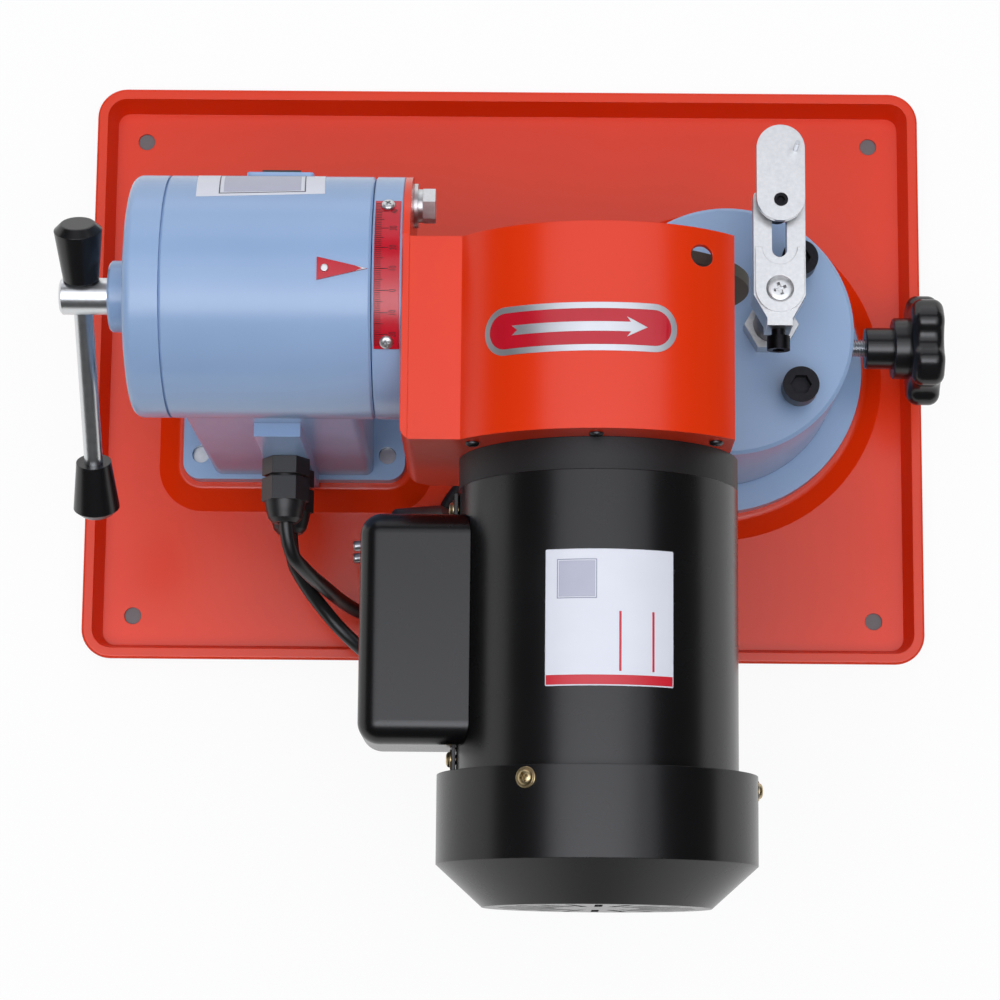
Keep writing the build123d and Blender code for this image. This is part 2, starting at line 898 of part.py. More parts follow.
def make_ram():
    """The sliding ram: a bored bar with a keyway, a seat for the nut and the ring's seat."""
    left = body_left + ram_setback
    start = (left, axis_y, axis_height)
    ram = rod(ram_radius, start, ALONG_X, ring_right - left)
    ram -= rod(nut_radius, start, ALONG_X, nut_length)
    ram -= rod(screw_room, start, ALONG_X, screw_room_end)
    ram -= block(
        left,
        left + keyway_length,
        axis_y - key_width / 2 - running_fit,
        axis_y + key_width / 2 + running_fit,
        axis_height + ram_radius - key_depth - seat_gap,
        axis_height + ram_radius,
    )
    return ram


def make_feed_nut():
    """The flanged bronze nut in the ram's end."""
    left = body_left + ram_setback
    nut = rod(nut_radius, (left, axis_y, axis_height), ALONG_X, nut_length)
    nut += rod(nut_flange_radius, (left - nut_flange, axis_y, axis_height), ALONG_X, nut_flange)
    bore = (left - nut_flange, axis_y, axis_height)
    return nut - rod(thread_radius + running_fit, bore, ALONG_X, nut_flange + nut_length)


def make_scale_ring():
    """The ring on the ram's end, with tapped holes for the bracket."""
    start = (ring_left, axis_y, axis_height)
    disc = rod(housing_radius, start, ALONG_X, ring_thickness)
    disc = chamfer(disc.edges().filter_by(GeomType.CIRCLE), barrel_edge / 2)
    disc -= rod(ram_radius, start, ALONG_X, ring_thickness)
    for y, z in round_the_axis(bracket_bolt_count, bracket_bolt_circle):
        disc -= rod(bracket_bolt_radius + thread_gap, (ring_left, y, z), ALONG_X, ring_thickness)
    for turn in (-scale_screw_angle, scale_screw_angle):
        start, out = scale_screw_place(turn)
        disc -= rod(small_screw_radius + thread_gap, start, -out, 2 * small_screw_length)
    return disc


def scale_screw_place(turn):
    """The seat and outward direction of a scale screw, at an angle from the top."""
    out = Vector(0, math.sin(math.radians(turn)), math.cos(math.radians(turn)))
    middle = Vector((ring_left + ring_right) / 2, axis_y, axis_height)
    return middle + out * (housing_radius + scale_thickness), out


def make_scale_plate():
    """The curved angle scale on the ring."""
    start = (ring_left + scale_side + barrel_edge / 2, axis_y, axis_height)
    length = ring_thickness - 2 * scale_side - barrel_edge
    band = ring(housing_radius + scale_thickness, housing_radius, start, ALONG_X, length)
    reach = 2 * housing_radius
    spread = reach * math.tan(math.radians(scale_half_angle))
    wedge = Polyline(
        (start[0], axis_y, axis_height),
        (start[0], axis_y + spread, axis_height + reach),
        (start[0], axis_y - spread, axis_height + reach),
        close=True,
    )
    plate = band & extrude(make_face(wedge), length, dir=ALONG_X)
    for turn in (-scale_screw_angle, scale_screw_angle):
        seat, out = scale_screw_place(turn)
        plate -= rod(small_screw_radius + thread_gap, seat, -out, small_screw_length)
    return plate


# Bracket and guard

def top_edge(radius, flat):
    """Outline of the guard's section down to the axis: flat at the left, round over the wheel."""
    low = (Align.MIN, Align.MIN)
    circle = Pos(motor_x, axis_height) * Circle(radius)
    strip = Pos(plate_right, axis_height) * Rectangle(motor_x - plate_right, flat - axis_height, align=low)
    keep = Pos(plate_right, axis_height) * Rectangle(guard_right - plate_right, 2 * radius, align=low)
    return (circle + strip) & keep


def on_side(sketch, y):
    """Stands a flat outline (X, Z) up in the plane of a given Y."""
    return Plane(origin=(0, y, 0), x_dir=ALONG_X, z_dir=BACK_Y) * sketch


def guard_underside(x):
    """Height of the guard's underside over a place X."""
    if x < motor_x - flat_reach:
        return guard_flat - bracket_sheet
    return axis_height + math.sqrt(guard_inner**2 - (x - motor_x) ** 2)


def guard_screw_places():
    """Seats of the guard's screws on the bracket's front face."""
    return [(x, bracket_front, guard_underside(x) - guard_screw_drop) for x in guard_screw_x]


def guard_block():
    """The hood's outer shape as a solid block."""
    return extrude(on_side(top_edge(guard_radius, guard_flat), guard_back), guard_back - bracket_front)


def make_wheel_guard():
    """The hood: a bent strip, flat at the bracket and round over the wheel, with screw tabs."""
    inside = top_edge(guard_inner, guard_flat - bracket_sheet)
    hood = guard_block() - extrude(on_side(inside, guard_back), guard_back - bracket_front)
    tab_front = bracket_front + bracket_sheet
    under = extrude(on_side(inside, tab_front + guard_tab_sheet), guard_tab_sheet)
    for x, y, z in guard_screw_places():
        low = z + guard_screw_drop - guard_tab_drop
        tab = block(
            x - guard_tab_width / 2,
            x + guard_tab_width / 2,
            tab_front,
            tab_front + guard_tab_sheet,
            low,
            axis_height + guard_radius,
        )
        tab &= under
        tab -= rod(small_screw_radius + thread_gap, (x, y, z), ALONG_Y, small_screw_length)
        hood += tab
    hole = rod(guard_hole_radius, (guard_hole_x, guard_hole_y, axis_height), ALONG_Z, 2 * guard_radius)
    return hood - hole


def bent_strip():
    """Plan of the bracket's sheet: a cheek and a front joined by a rounded bend."""
    far = axis_y + housing_radius
    low = (Align.MIN, Align.MIN)
    faces = []
    for inset, radius in ((0, bracket_bend), (bracket_sheet, bracket_bend - bracket_sheet)):
        x = ring_right + inset
        y = bracket_front + inset
        face = Pos(x, y) * Rectangle(guard_right - x, far - y, align=low)
        corner = face.vertices().sort_by_distance((x, y, 0))[0]
        faces.append(fillet(corner, radius))
    return faces[0] - faces[1]


def cheek_outline():
    """The cheek's outline in Y and Z: a disc on the ring, and an arm to the front."""
    foot = axis_height - bracket_drop
    disc = Pos(axis_y, axis_height) * Circle(housing_radius)
    arm = make_face(
        Polyline(
            (bracket_front, foot),
            (bracket_front + bracket_slope_start, foot),
            (axis_y, axis_height - housing_radius),
            (axis_y, guard_flat),
            (bracket_front, guard_flat),
            close=True,
        )
    )
    room = Pos(axis_y, guard_flat - housing_radius * 2) * Rectangle(4 * housing_radius, 4 * housing_radius)
    return (disc + arm) & room


def front_outline():
    """The front's outline in X and Z, under the guard and round the motor's flange."""
    foot = axis_height - bracket_drop
    left = ring_right + bracket_bend
    lower = make_face(
        Polyline(
            (left, axis_height),
            (left, foot),
            (motor_x + bracket_foot_right, foot),
            (guard_right, axis_height - bracket_cheek_drop),
            (guard_right, axis_height),
            close=True,
        )
    )
    upper = top_edge(guard_inner, guard_flat - bracket_sheet)
    beside = (Align.MIN, Align.CENTER)
    room = Pos(left, axis_height) * Rectangle(2 * guard_right, 4 * guard_radius, align=beside)
    return (lower + upper) & room


def make_motor_bracket():
    """The bent plate: a cheek bolted to the ring and a front that carries the motor."""
    foot = axis_height - bracket_drop
    tall = extrude(Pos(0, 0, foot) * bent_strip(), bracket_drop + guard_radius)
    cheek_plane = Plane(origin=(ring_right, 0, 0), x_dir=ALONG_Y, z_dir=ALONG_X)
    cheek = tall & extrude(cheek_plane * cheek_outline(), bracket_bend)
    front = tall & extrude(on_side(front_outline(), bracket_front + bracket_sheet), bracket_sheet)
    wedge = make_face(
        Polyline(
            (ring_right, foot),
            (ring_right + bracket_chamfer, foot),
            (ring_right, foot + bracket_chamfer),
            close=True,
        )
    )
    bracket = cheek + front - extrude(on_side(wedge, bracket_front + bracket_bend), bracket_bend)
    lip = block(
        ring_right,
        plate_right + bracket_bend,
        bracket_front,
        bracket_front + bracket_bend,
        guard_flat - bracket_sheet,
        guard_flat,
    )
    bracket -= lip & guard_block()
    middle = (motor_x, bracket_front, axis_height)
    bracket -= rod(spigot_radius + hole_gap, middle, ALONG_Y, bracket_sheet)
    for x, z in motor_screw_places():
        bracket -= rod(motor_screw_radius + hole_gap, (x, bracket_front, z), ALONG_Y, bracket_sheet)
    for y, z in round_the_axis(bracket_bolt_count, bracket_bolt_circle):
        bracket -= rod(bracket_bolt_radius + hole_gap, (ring_right, y, z), ALONG_X, bracket_sheet)
    bracket -= rod(ram_radius - key_depth, (ring_right, axis_y, axis_height), ALONG_X, bracket_sheet)
    for x, y, z in guard_screw_places():
        bracket -= rod(small_screw_radius + thread_gap, (x, y, z), ALONG_Y, bracket_sheet)
    return bracket


def make_bracket_bolts():
    """Hexagon bolts, each with a flat and a spring washer, from the bracket into the ring."""
    pieces = []
    bore = bracket_bolt_radius + hole_gap
    for y, z in round_the_axis(bracket_bolt_count, bracket_bolt_circle):
        face = (plate_right, y, z)
        pieces.append(ring(flat_washer_radius, bore, face, ALONG_X, flat_washer_thickness))
        above = step_along(face, ALONG_X, flat_washer_thickness)
        pieces.append(ring(spring_washer_radius, bore, above, ALONG_X, spring_washer_thickness))
        seat = step_along(above, ALONG_X, spring_washer_thickness)
        length = bracket_bolt_length + flat_washer_thickness + spring_washer_thickness
        pieces.append(
            hex_bolt(seat, ALONG_X, bracket_bolt_radius, length, bracket_bolt_flats, bracket_bolt_head)
        )
    return Compound(pieces)


def make_sheet_screws():
    """The small screws of the scale plate and of the guard."""
    screws = []
    sizes = (small_screw_radius, small_screw_length, small_screw_head_radius, small_screw_head)
    for turn in (-scale_screw_angle, scale_screw_angle):
        seat, out = scale_screw_place(turn)
        screws.append(pan_screw(seat, out, *sizes))
    for seat in guard_screw_places():
        screws.append(pan_screw(seat, BACK_Y, *sizes))
    return Compound(screws)


# Motor: distances run back from the bracket's front face

def motor_origin():
    """Where the motor's axis meets the bracket's front face."""
    return (motor_x, bracket_front, axis_height)


def motor_at(distance):
    """A point of the motor's axis, behind the bracket."""
    return (motor_x, bracket_front - distance, axis_height)


def motor_turned(profile):
    """A solid turned about the motor's axis."""
    return turned(profile, motor_origin(), BACK_Y, ALONG_X)


def motor_screw_places():
    """Places (X, Z) of the four screws that hold the motor."""
    return [on_circle((motor_x, axis_height), motor_screw_circle, 45 + 90 * n) for n in range(4)]


def front_bearing_start():
    """Distance of the front bearing behind the bracket."""
    return shield_depth - bearing_lip


def rear_bearing_start():
    """Distance of the rear bearing behind the bracket."""
    return shield_depth + shell_length - bearing_width + bearing_lip


def make_front_shield():
    """The front end shield: a dished casting with the front bearing's seat."""
    boss = bearing_outer + bearing_boss_wall
    seat = front_bearing_start()
    shaft_hole = bearing_inner + shaft_hole_gap
    shield = motor_turned(
        [
            (-bracket_sheet, shaft_hole),
            (-bracket_sheet, spigot_radius),
            (0, spigot_radius),
            (0, motor_radius),
            (shield_depth, motor_radius),
            (shield_depth, boss),
            (seat + bearing_width, boss),
            (seat + bearing_width, bearing_outer),
            (seat, bearing_outer),
            (seat, shaft_hole),
        ]
    )
    for x, z in motor_screw_places():
        depth = motor_screw_length - bracket_sheet
        shield -= rod(motor_screw_radius + thread_gap, (x, bracket_front, z), BACK_Y, depth + seat_gap)
    return shield


def make_motor_screws():
    """Socket screws from inside the bracket into the front shield."""
    screws = []
    for x, z in motor_screw_places():
        screws.append(
            socket_screw(
                (x, bracket_front + bracket_sheet, z),
                ALONG_Y,
                motor_screw_radius,
                motor_screw_length,
                motor_screw_head_radius,
                motor_screw_head,
                motor_screw_key,
            )
        )
    return Compound(screws)


def box_screw_places():
    """Heads' seats of the two screws that hold the capacitor box's tabs."""
    x = motor_x - motor_radius - box_shell_gap - box_wall
    front = bracket_front - box_start + box_tab_length / 2
    back = bracket_front - box_start - box_length - box_tab_length / 2
    return [(x, front, axis_height), (x, back, axis_height)]


def make_motor_shell():
    """The motor's rolled shell, with tapped holes for the capacitor box."""
    shell = ring(motor_radius, motor_radius - shell_wall, motor_at(shield_depth), BACK_Y, shell_length)
    for place in box_screw_places():
        shell -= rod(zinc_screw_radius + thread_gap, place, ALONG_X, zinc_screw_length)
    return shell


def make_stator_core():
    """The stacked stator ring, a seat in the shell."""
    return ring(motor_radius - shell_wall, stator_inner, motor_at(stator_start), BACK_Y, stator_length)


def make_windings():
    """The two heads of the windings, one at each end of the stator."""
    heads = []
    for start in (stator_start - winding_length, stator_start + stator_length):
        head = ring(winding_outer, winding_inner, motor_at(start), BACK_Y, winding_length)
        heads.append(fillet(head.edges().filter_by(GeomType.CIRCLE), winding_length / 4))
    return Compound(heads)


def make_rear_shield():
    """The rear end shield with its bearing seat and three lugs for the fan cover."""
    start = shield_depth + shell_length
    boss = bearing_outer + bearing_boss_wall
    seat = rear_bearing_start()
    shaft_hole = bearing_inner + shaft_hole_gap
    shield = motor_turned(
        [
            (start, motor_radius),
            (start + rear_shield_depth, motor_radius),
            (start + rear_shield_depth, shaft_hole),
            (seat + bearing_width, shaft_hole),
            (seat + bearing_width, bearing_outer),
            (seat, bearing_outer),
            (seat, boss),
            (start, boss),
        ]
    )
    tip = cover_radius - cover_sheet - cover_lug_gap
    for out in cover_screw_directions():
        lug_plane = Plane(origin=motor_at(start + cover_lug_depth / 2), z_dir=out, x_dir=BACK_Y)
        low = (Align.CENTER, Align.CENTER, Align.MIN)
        bar = lug_plane * Box(cover_lug_depth, cover_lug_width, tip, align=low)
        bar &= ring(tip, motor_radius - shell_wall, motor_at(start), BACK_Y, cover_lug_depth)
        bar -= rod(zinc_screw_radius + thread_gap, lug_plane.origin + out * motor_radius, out, tip)
        shield += bar
    return shield


def cover_screw_directions():
    """Outward directions of the fan cover's screws."""
    directions = []
    for n in range(cover_screw_count):
        turn = math.radians(cover_screw_turn - 360 / cover_screw_count * n)
        directions.append(Vector(-math.sin(turn), 0, math.cos(turn)))
    return directions


def make_fan_cover():
    """The pressed fan cover: a straight rim, a taper and an end face with radial slots."""
    start = shield_depth + shell_length - cover_overlap
    knee = start + cover_straight
    end = knee + cover_taper
    lean = math.atan2(cover_radius - cover_end_radius, cover_taper)
    shift = cover_sheet * math.tan(lean / 2)
    cover = motor_turned(
        [
            (start, cover_radius),
            (knee, cover_radius),
            (end, cover_end_radius),
            (end, 0),
            (end - cover_sheet, 0),
            (end - cover_sheet, cover_end_radius - shift),
            (knee - shift, cover_radius - cover_sheet),
            (start, cover_radius - cover_sheet),
        ]
    )
    face = Plane(origin=motor_at(end - 2 * cover_sheet), z_dir=BACK_Y, x_dir=ALONG_X)
    middle = (cover_slot_inner + cover_slot_outer) / 2
    slot = SlotOverall(cover_slot_outer - cover_slot_inner, cover_slot_width)
    for n in range(cover_slot_count):
        place = Rot(0, 0, 360 / cover_slot_count * n) * Pos(middle, 0) * slot
        cover -= extrude(face * place, 3 * cover_sheet)
    lug_middle = shield_depth + shell_length + cover_lug_depth / 2
    for out in cover_screw_directions():
        lug = step_along(motor_at(lug_middle), out, motor_radius)
        cover -= rod(zinc_screw_radius + thread_gap, lug, out, cover_radius)
    return cover


def make_zinc_screws():
    """The yellow screws of the fan cover and of the capacitor box."""
    screws = []
    sizes = (zinc_screw_radius, zinc_screw_length, zinc_screw_head_radius, zinc_screw_head)
    lug_middle = shield_depth + shell_length + cover_lug_depth / 2
    for out in cover_screw_directions():
        screws.append(pan_screw(step_along(motor_at(lug_middle), out, cover_radius), out, *sizes))
    for place in box_screw_places():
        screws.append(pan_screw(place, BACK_X, *sizes))
    return Compound(screws)


def make_bearings():
    """The two ball bearings, drawn as closed rings."""
    rings = []
    for start in (front_bearing_start(), rear_bearing_start()):
        race = ring(bearing_outer, bearing_inner + running_fit, motor_at(start), BACK_Y, bearing_width)
        rings.append(race)
    return Compound(rings)


def make_capacitor_cover():
    """The pressed box on the motor's side, open towards the shell, with two screw tabs."""
    front = bracket_front - box_start
    back = front - box_length
    low = axis_height - box_height / 2
    high = axis_height + box_height / 2
    outer = block(box_left, motor_x, back, front, low, high)
    left_edges = outer.edges().filter_by(lambda e: e.center().X < motor_x - 1)
    outer = fillet(left_edges, box_round)
    inner = block(
        box_left + box_wall,
        motor_x,
        back + box_wall,
        front - box_wall,
        low + box_wall,
        high - box_wall,
    )
    left_edges = inner.edges().filter_by(lambda e: e.center().X < motor_x - 1)
    inner = fillet(left_edges, box_round - box_wall)
    room = rod(motor_radius + box_shell_gap, motor_at(0), BACK_Y, 2 * shell_length)
    box = outer - inner - room
    slot_middle = front - lead_slot_start
    slot_left = box_left + box_round
    box -= block(
        slot_left,
        slot_left + lead_slot_length,
        slot_middle - lead_slot_width / 2,
        slot_middle + lead_slot_width / 2,
        low,
        low + box_wall,
    )
    for x, y, z in box_screw_places():
        tab = block(
            x,
            x + box_wall,
            y - box_tab_length / 2 - box_wall,
            y + box_tab_length / 2 + box_wall,
            z - box_tab_height / 2,
            z + box_tab_height / 2,
        )
        tab -= inner
        box += tab - rod(zinc_screw_radius + thread_gap, (x, y, z), ALONG_X, box_wall)
    return box


def make_capacitor():
    """The run capacitor's can."""
    middle = bracket_front - box_start - box_length / 2
    x = motor_x - motor_radius - seat_gap - capacitor_radius
    return rod(capacitor_radius, (x, middle - capacitor_length / 2, axis_height), ALONG_Y, capacitor_length)


# Turning group: shaft, rotor, fan, arbor and wheel

def make_motor_shaft():
    """The stepped motor shaft, from the fan to the wheel's nut."""
    fan_end = fan_start + fan_width
    nut_end = wheel_web_front + outer_flange + arbor_nut_height + shaft_past_nut
    step = -bracket_sheet - arbor_gap
    return motor_turned(
        [
            (fan_end, 0),
            (fan_end, bearing_inner),
            (step, bearing_inner),
            (step, arbor_shaft_radius),
            (bracket_front - nut_end, arbor_shaft_radius),
            (bracket_front - nut_end, 0),
        ]
    )


def make_rotor_core():
    """The rotor's stack on the shaft."""
    return ring(stator_inner - air_gap, bearing_inner, motor_at(stator_start), BACK_Y, stator_length)


def make_cooling_fan():
    """The plastic fan: hub, disc and straight blades."""
    fan = ring(fan_hub_radius, bearing_inner, motor_at(fan_start), BACK_Y, fan_width)
    fan += ring(fan_radius, bearing_inner, motor_at(fan_start), BACK_Y, fan_disc_thickness)
    middle = motor_at(fan_start + fan_width / 2)
    for n in range(fan_blades):
        turn = 360 / fan_blades * n
        blade = Box(fan_radius - fan_hub_radius + fan_blade_root, fan_width, fan_blade_thickness)
        blade = Pos((fan_radius + fan_hub_radius - fan_blade_root) / 2, 0, 0) * blade
        fan += Pos(*middle) * Rot(0, turn, 0) * blade
    return fan & rod(fan_radius, motor_at(fan_start), BACK_Y, fan_width)


def make_wheel_arbor():
    """The sleeve on the shaft with the wheel's inner flange and pilot."""
    start = -bracket_sheet - arbor_gap
    back = bracket_front - wheel_back
    front = bracket_front - wheel_web_front
    return motor_turned(
        [
            (start, arbor_shaft_radius),
            (start, arbor_radius),
            (back + arbor_flange, arbor_radius),
            (back + arbor_flange, arbor_flange_radius),
            (back, arbor_flange_radius),
            (back, wheel_bore - running_fit),
            (front + seat_gap, wheel_bore - running_fit),
            (front + seat_gap, arbor_shaft_radius),
        ]
    )


def make_grinding_wheel():
    """The dish wheel: a flat web and a rim band on its far side."""
    back = bracket_front - wheel_back
    front = bracket_front - wheel_front
    web = bracket_front - wheel_web_front
    return motor_turned(
        [
            (back, wheel_bore),
            (back, wheel_back_flat),
            (back - wheel_rim_back, wheel_radius),
            (front, wheel_radius),
            (front, wheel_radius - wheel_rim_width),
            (web, wheel_dish_radius),
            (web, wheel_bore),
        ]
    )


def make_wheel_flange():
    """The loose outer flange."""
    start = (motor_x, wheel_web_front, axis_height)
    return ring(outer_flange_radius, arbor_shaft_radius + running_fit, start, ALONG_Y, outer_flange)


def make_arbor_nut():
    """The nut that clamps the wheel."""
    start = (motor_x, wheel_web_front + outer_flange, axis_height)
    nut = hexagon(arbor_nut_flats, start, ALONG_Y, arbor_nut_height)
    return nut - rod(arbor_shaft_radius + running_fit, start, ALONG_Y, arbor_nut_height)


# Turntable

def make_turntable_base():
    """The bolted base ring with the spigot that the drum turns on."""
    top = plateau_top + base_thickness
    spigot_top = drum_top - drum_roof - spigot_top_gap
    low_groove = knob_height - groove_height / 2
    high_groove = knob_height + groove_height / 2
    waist = spigot_outer - groove_depth
    base = turned(
        [
            (plateau_top, spigot_bore),
            (plateau_top, base_radius),
            (top, base_radius),
            (top, spigot_outer),
            (low_groove, spigot_outer),
            (low_groove, waist),
            (high_groove, waist),
            (high_groove, spigot_outer),
            (spigot_top, spigot_outer),
            (spigot_top, spigot_bore),
        ],
        (drum_x, drum_y, 0),
        ALONG_Z,
        ALONG_X,
    )
    for x, y in base_places():
        base -= rod(base_bolt_radius + thread_gap, (x, y, plateau_top), ALONG_Z, base_bolt_depth)
    return base


def drum_screw_places():
    """Places of the four socket screws on the drum's top."""
    places = []
    for side in (0, 180):
        for turn in (-drum_screw_angle, drum_screw_angle):
            places.append(on_circle((drum_x, drum_y), drum_screw_circle, side + turn))
    return places


def make_drum():
    """The drum: a cap that turns on the spigot, tapped for the post, screws and knob."""
    drum = rod(drum_radius, (drum_x, drum_y, drum_bottom), ALONG_Z, drum_height)
    drum = chamfer(drum.edges().filter_by(GeomType.CIRCLE), drum_edge)
    drum -= rod(spigot_outer + running_fit, (drum_x, drum_y, drum_bottom), ALONG_Z, drum_height - drum_roof)
    for x, y in drum_screw_places():
        drum -= rod(drum_screw_radius + thread_gap, (x, y, drum_top), DOWN, drum_screw_depth + seat_gap)
    drum -= rod(post_radius + running_fit, (post_x, post_y, drum_top), DOWN, post_sunk + seat_gap)
    drum -= rod(knob_screw_radius + running_fit, (drum_x, drum_y, knob_height), ALONG_X, drum_radius)
    return drum


def make_drum_screws():
    """Socket screws that stand proud, ready to clamp a blade arm."""
    screws = []
    for x, y in drum_screw_places():
        screws.append(
            socket_screw(
                (x, y, drum_top + drum_screw_proud),
                ALONG_Z,
                drum_screw_radius,
                drum_screw_proud + drum_screw_depth,
                drum_screw_head_radius,
                drum_screw_head,
                drum_screw_key,
            )
        )
    return Compound(screws)


def knob_start():
    """Where the star knob's neck begins."""
    return drum_x + drum_radius + knob_gap


def make_knob_screw():
    """The knob's stud, through the drum's wall into the spigot's groove."""
    tip = drum_x + spigot_outer - groove_depth + seat_gap
    return rod(knob_screw_radius, (tip, drum_y, knob_height), ALONG_X, knob_start() + knob_screw_sunk - tip)


def make_star_knob():
    """The star knob: neck, collar and a grip with soft lobes between scallops."""
    start = (knob_start(), drum_y, knob_height)
    neck = rod(knob_neck_radius, start, ALONG_X, knob_neck)
    neck = fillet(neck.edges().sort_by(Axis.X)[0], knob_neck_round)
    collar = rod(knob_collar_radius, step_along(start, ALONG_X, knob_neck), ALONG_X, knob_collar)
    collar = fillet(collar.edges().sort_by(Axis.X)[0], knob_neck_round)
    outline = Circle(knob_grip_radius)
    scallop = Pos(knob_valley_radius + knob_scallop_radius, 0) * Circle(knob_scallop_radius)
    for n in range(knob_lobes):
        outline -= Rot(0, 0, 360 / knob_lobes * n) * scallop
    outline = fillet(outline.vertices(), knob_lobe_round)
    face = Plane(origin=step_along(start, ALONG_X, knob_neck + knob_collar), z_dir=ALONG_X, x_dir=ALONG_Z)
    grip = extrude(face * outline, knob_grip)
    ends = grip.edges().group_by(Axis.X)
    grip = fillet(ends[0] + ends[-1], knob_round)
    return neck + collar + grip - rod(knob_screw_radius, start, ALONG_X, knob_screw_sunk)


# Tooth rest: distances run from the post along Y

def make_finger_post():
    """The round post screwed into the drum."""
    top = arm_top_z - arm_bore_roof - seat_gap
    post = rod(post_radius, (post_x, post_y, drum_top - post_sunk), ALONG_Z, top - drum_top + post_sunk)
    return chamfer(post.edges().sort_by(Axis.Z)[-1], barrel_edge)


def make_post_nut():
    """The jam nut at the post's foot."""
    start = (post_x, post_y, drum_top)
    nut = hexagon(post_nut_flats, start, ALONG_Z, post_nut_height)
    return nut - rod(post_radius + running_fit, start, ALONG_Z, post_nut_height)


def arm_slot(width, start, end):
    """The outline of the arm's long slot, between the centres of its round ends."""
    length = end - start
    return Pos(post_x, post_y + (start + end) / 2) * Rot(0, 0, 90) * SlotOverall(length, width)


def make_finger_arm():
    """The arm: a tapered block on the post and a slotted plate for the finger."""
    half = arm_width / 2
    tab = arm_tab_width / 2
    outline = make_face(
        Polyline(
            (post_x - half, post_y + arm_length),
            (post_x - half, post_y + arm_shoulder),
            (post_x - tab, post_y - arm_tab_start),
            (post_x - tab, post_y - arm_tab_end),
            (post_x + tab, post_y - arm_tab_end),
            (post_x + tab, post_y - arm_tab_start),
            (post_x + half, post_y + arm_shoulder),
            (post_x + half, post_y + arm_length),
            close=True,
        )
    )
    arm = extrude(Pos(0, 0, arm_top_z - arm_height) * outline, arm_height)
    far = arm.edges().filter_by(Axis.Z).filter_by(lambda e: e.center().Y > post_y + arm_length - 1)
    arm = fillet(far, arm_corner)
    arm -= block(
        post_x - arm_width,
        post_x + arm_width,
        post_y + arm_block_end,
        post_y + arm_length,
        arm_top_z - arm_height,
        arm_top_z - arm_plate,
    )
    arm -= extrude(Pos(0, 0, arm_top_z - arm_plate) * arm_slot(slot_width, slot_start, slot_end), arm_plate)
    foot = (post_x, post_y, arm_top_z - arm_height)
    arm -= rod(post_radius + running_fit, foot, ALONG_Z, arm_height - arm_bore_roof)
    screw = (post_x, post_y - arm_tab_end, arm_top_z - clamp_screw_drop)
    arm -= rod(clamp_screw_radius + thread_gap, screw, ALONG_Y, arm_tab_end)
    top = (post_x, post_y + stop_screw_y, arm_top_z)
    return arm - rod(stop_screw_radius + thread_gap, top, DOWN, stop_screw_length + thread_gap)


def make_arm_clamp_screw():
    """The socket screw that clamps the arm on the post."""
    seat = (post_x, post_y - arm_tab_end - clamp_screw_proud, arm_top_z - clamp_screw_drop)
    length = arm_tab_end + clamp_screw_proud - post_radius - seat_gap
    return socket_screw(
        seat,
        BACK_Y,
        clamp_screw_radius,
        length,
        clamp_screw_head_radius,
        clamp_screw_head,
        clamp_screw_key,
    )


def stop_screw_cone():
    """Outline of the stop plate's countersink, from its tip up to the plate's top."""
    depth = stop_plate_thickness
    return [
        (0, 0),
        (0, stop_screw_radius),
        (depth, stop_screw_head_radius),
        (depth, 0),
    ]


def make_stop_plate():
    """The thin plate on the arm, rounded at its near end, notched round the slot's end."""
    radius = stop_plate_width / 2
    back = post_y + stop_plate_back
    front = post_y - stop_plate_front
    body = Pos(post_x, (back + front + radius) / 2) * Rectangle(stop_plate_width, back - front - radius)
    outline = body + Pos(post_x, front + radius) * Circle(radius)
    notch_end = back - stop_notch_depth
    notch_radius = stop_notch_width / 2
    outline -= Pos(post_x, notch_end + notch_radius) * Circle(notch_radius)
    outline -= Pos(post_x, notch_end + 2 * notch_radius) * Rectangle(stop_notch_width, 2 * notch_radius)
    plate = extrude(Pos(0, 0, arm_top_z) * outline, stop_plate_thickness)
    return plate - turned(stop_screw_cone(), (post_x, post_y + stop_screw_y, arm_top_z), ALONG_Z, ALONG_X)


def make_stop_plate_screw():
    """The countersunk screw of the stop plate."""
    seat = (post_x, post_y + stop_screw_y, arm_top_z)
    head = turned(stop_screw_cone(), seat, ALONG_Z, ALONG_X)
    return head + rod(stop_screw_radius, seat, DOWN, stop_screw_length)


def finger_base():
    """Height of the finger plate's underside."""
    return arm_top_z + stud_spacer


def make_finger_plate():
    """The stadium-shaped finger plate."""
    length = finger_back - finger_front
    outline = Pos(post_x, post_y + (finger_front + finger_back) / 2) * Rot(0, 0, 90)
    outline = outline * SlotOverall(length, finger_width)
    plate = extrude(Pos(0, 0, finger_base()) * outline, finger_thickness)
    stud = (post_x, post_y + stud_y, finger_base())
    plate -= rod(stud_radius + thread_gap, stud, ALONG_Z, finger_thickness)
    pin = (post_x + finger_pin_x, post_y + finger_pin_y, finger_base())
    return plate - rod(finger_pin_radius, pin, ALONG_Z, finger_thickness)


def make_finger_stud():
    """The socket screw through the slot, with its spacer under the finger plate."""
    start = (post_x, post_y + stud_y, arm_top_z)
    stud = rod(stud_spacer_radius, start, ALONG_Z, stud_spacer)
    length = arm_plate + stud_spacer + finger_thickness
    stud += rod(stud_radius, step_along(start, DOWN, arm_plate), ALONG_Z, length)
    key_floor = step_along(start, ALONG_Z, stud_spacer + finger_thickness - stud_key_depth)
    stud -= hexagon(2 * stud_key, key_floor, ALONG_Z, stud_key_depth)
    return stud + rod(stud_head_radius, step_along(start, DOWN, arm_plate + stud_head), ALONG_Z, stud_head)


def make_finger_pin():
    """The thin stop pin pressed into the finger plate."""
    foot = (post_x + finger_pin_x, post_y + finger_pin_y, finger_base())
    return rod(finger_pin_radius, foot, ALONG_Z, finger_thickness + finger_pin_height)


# Glands and cords

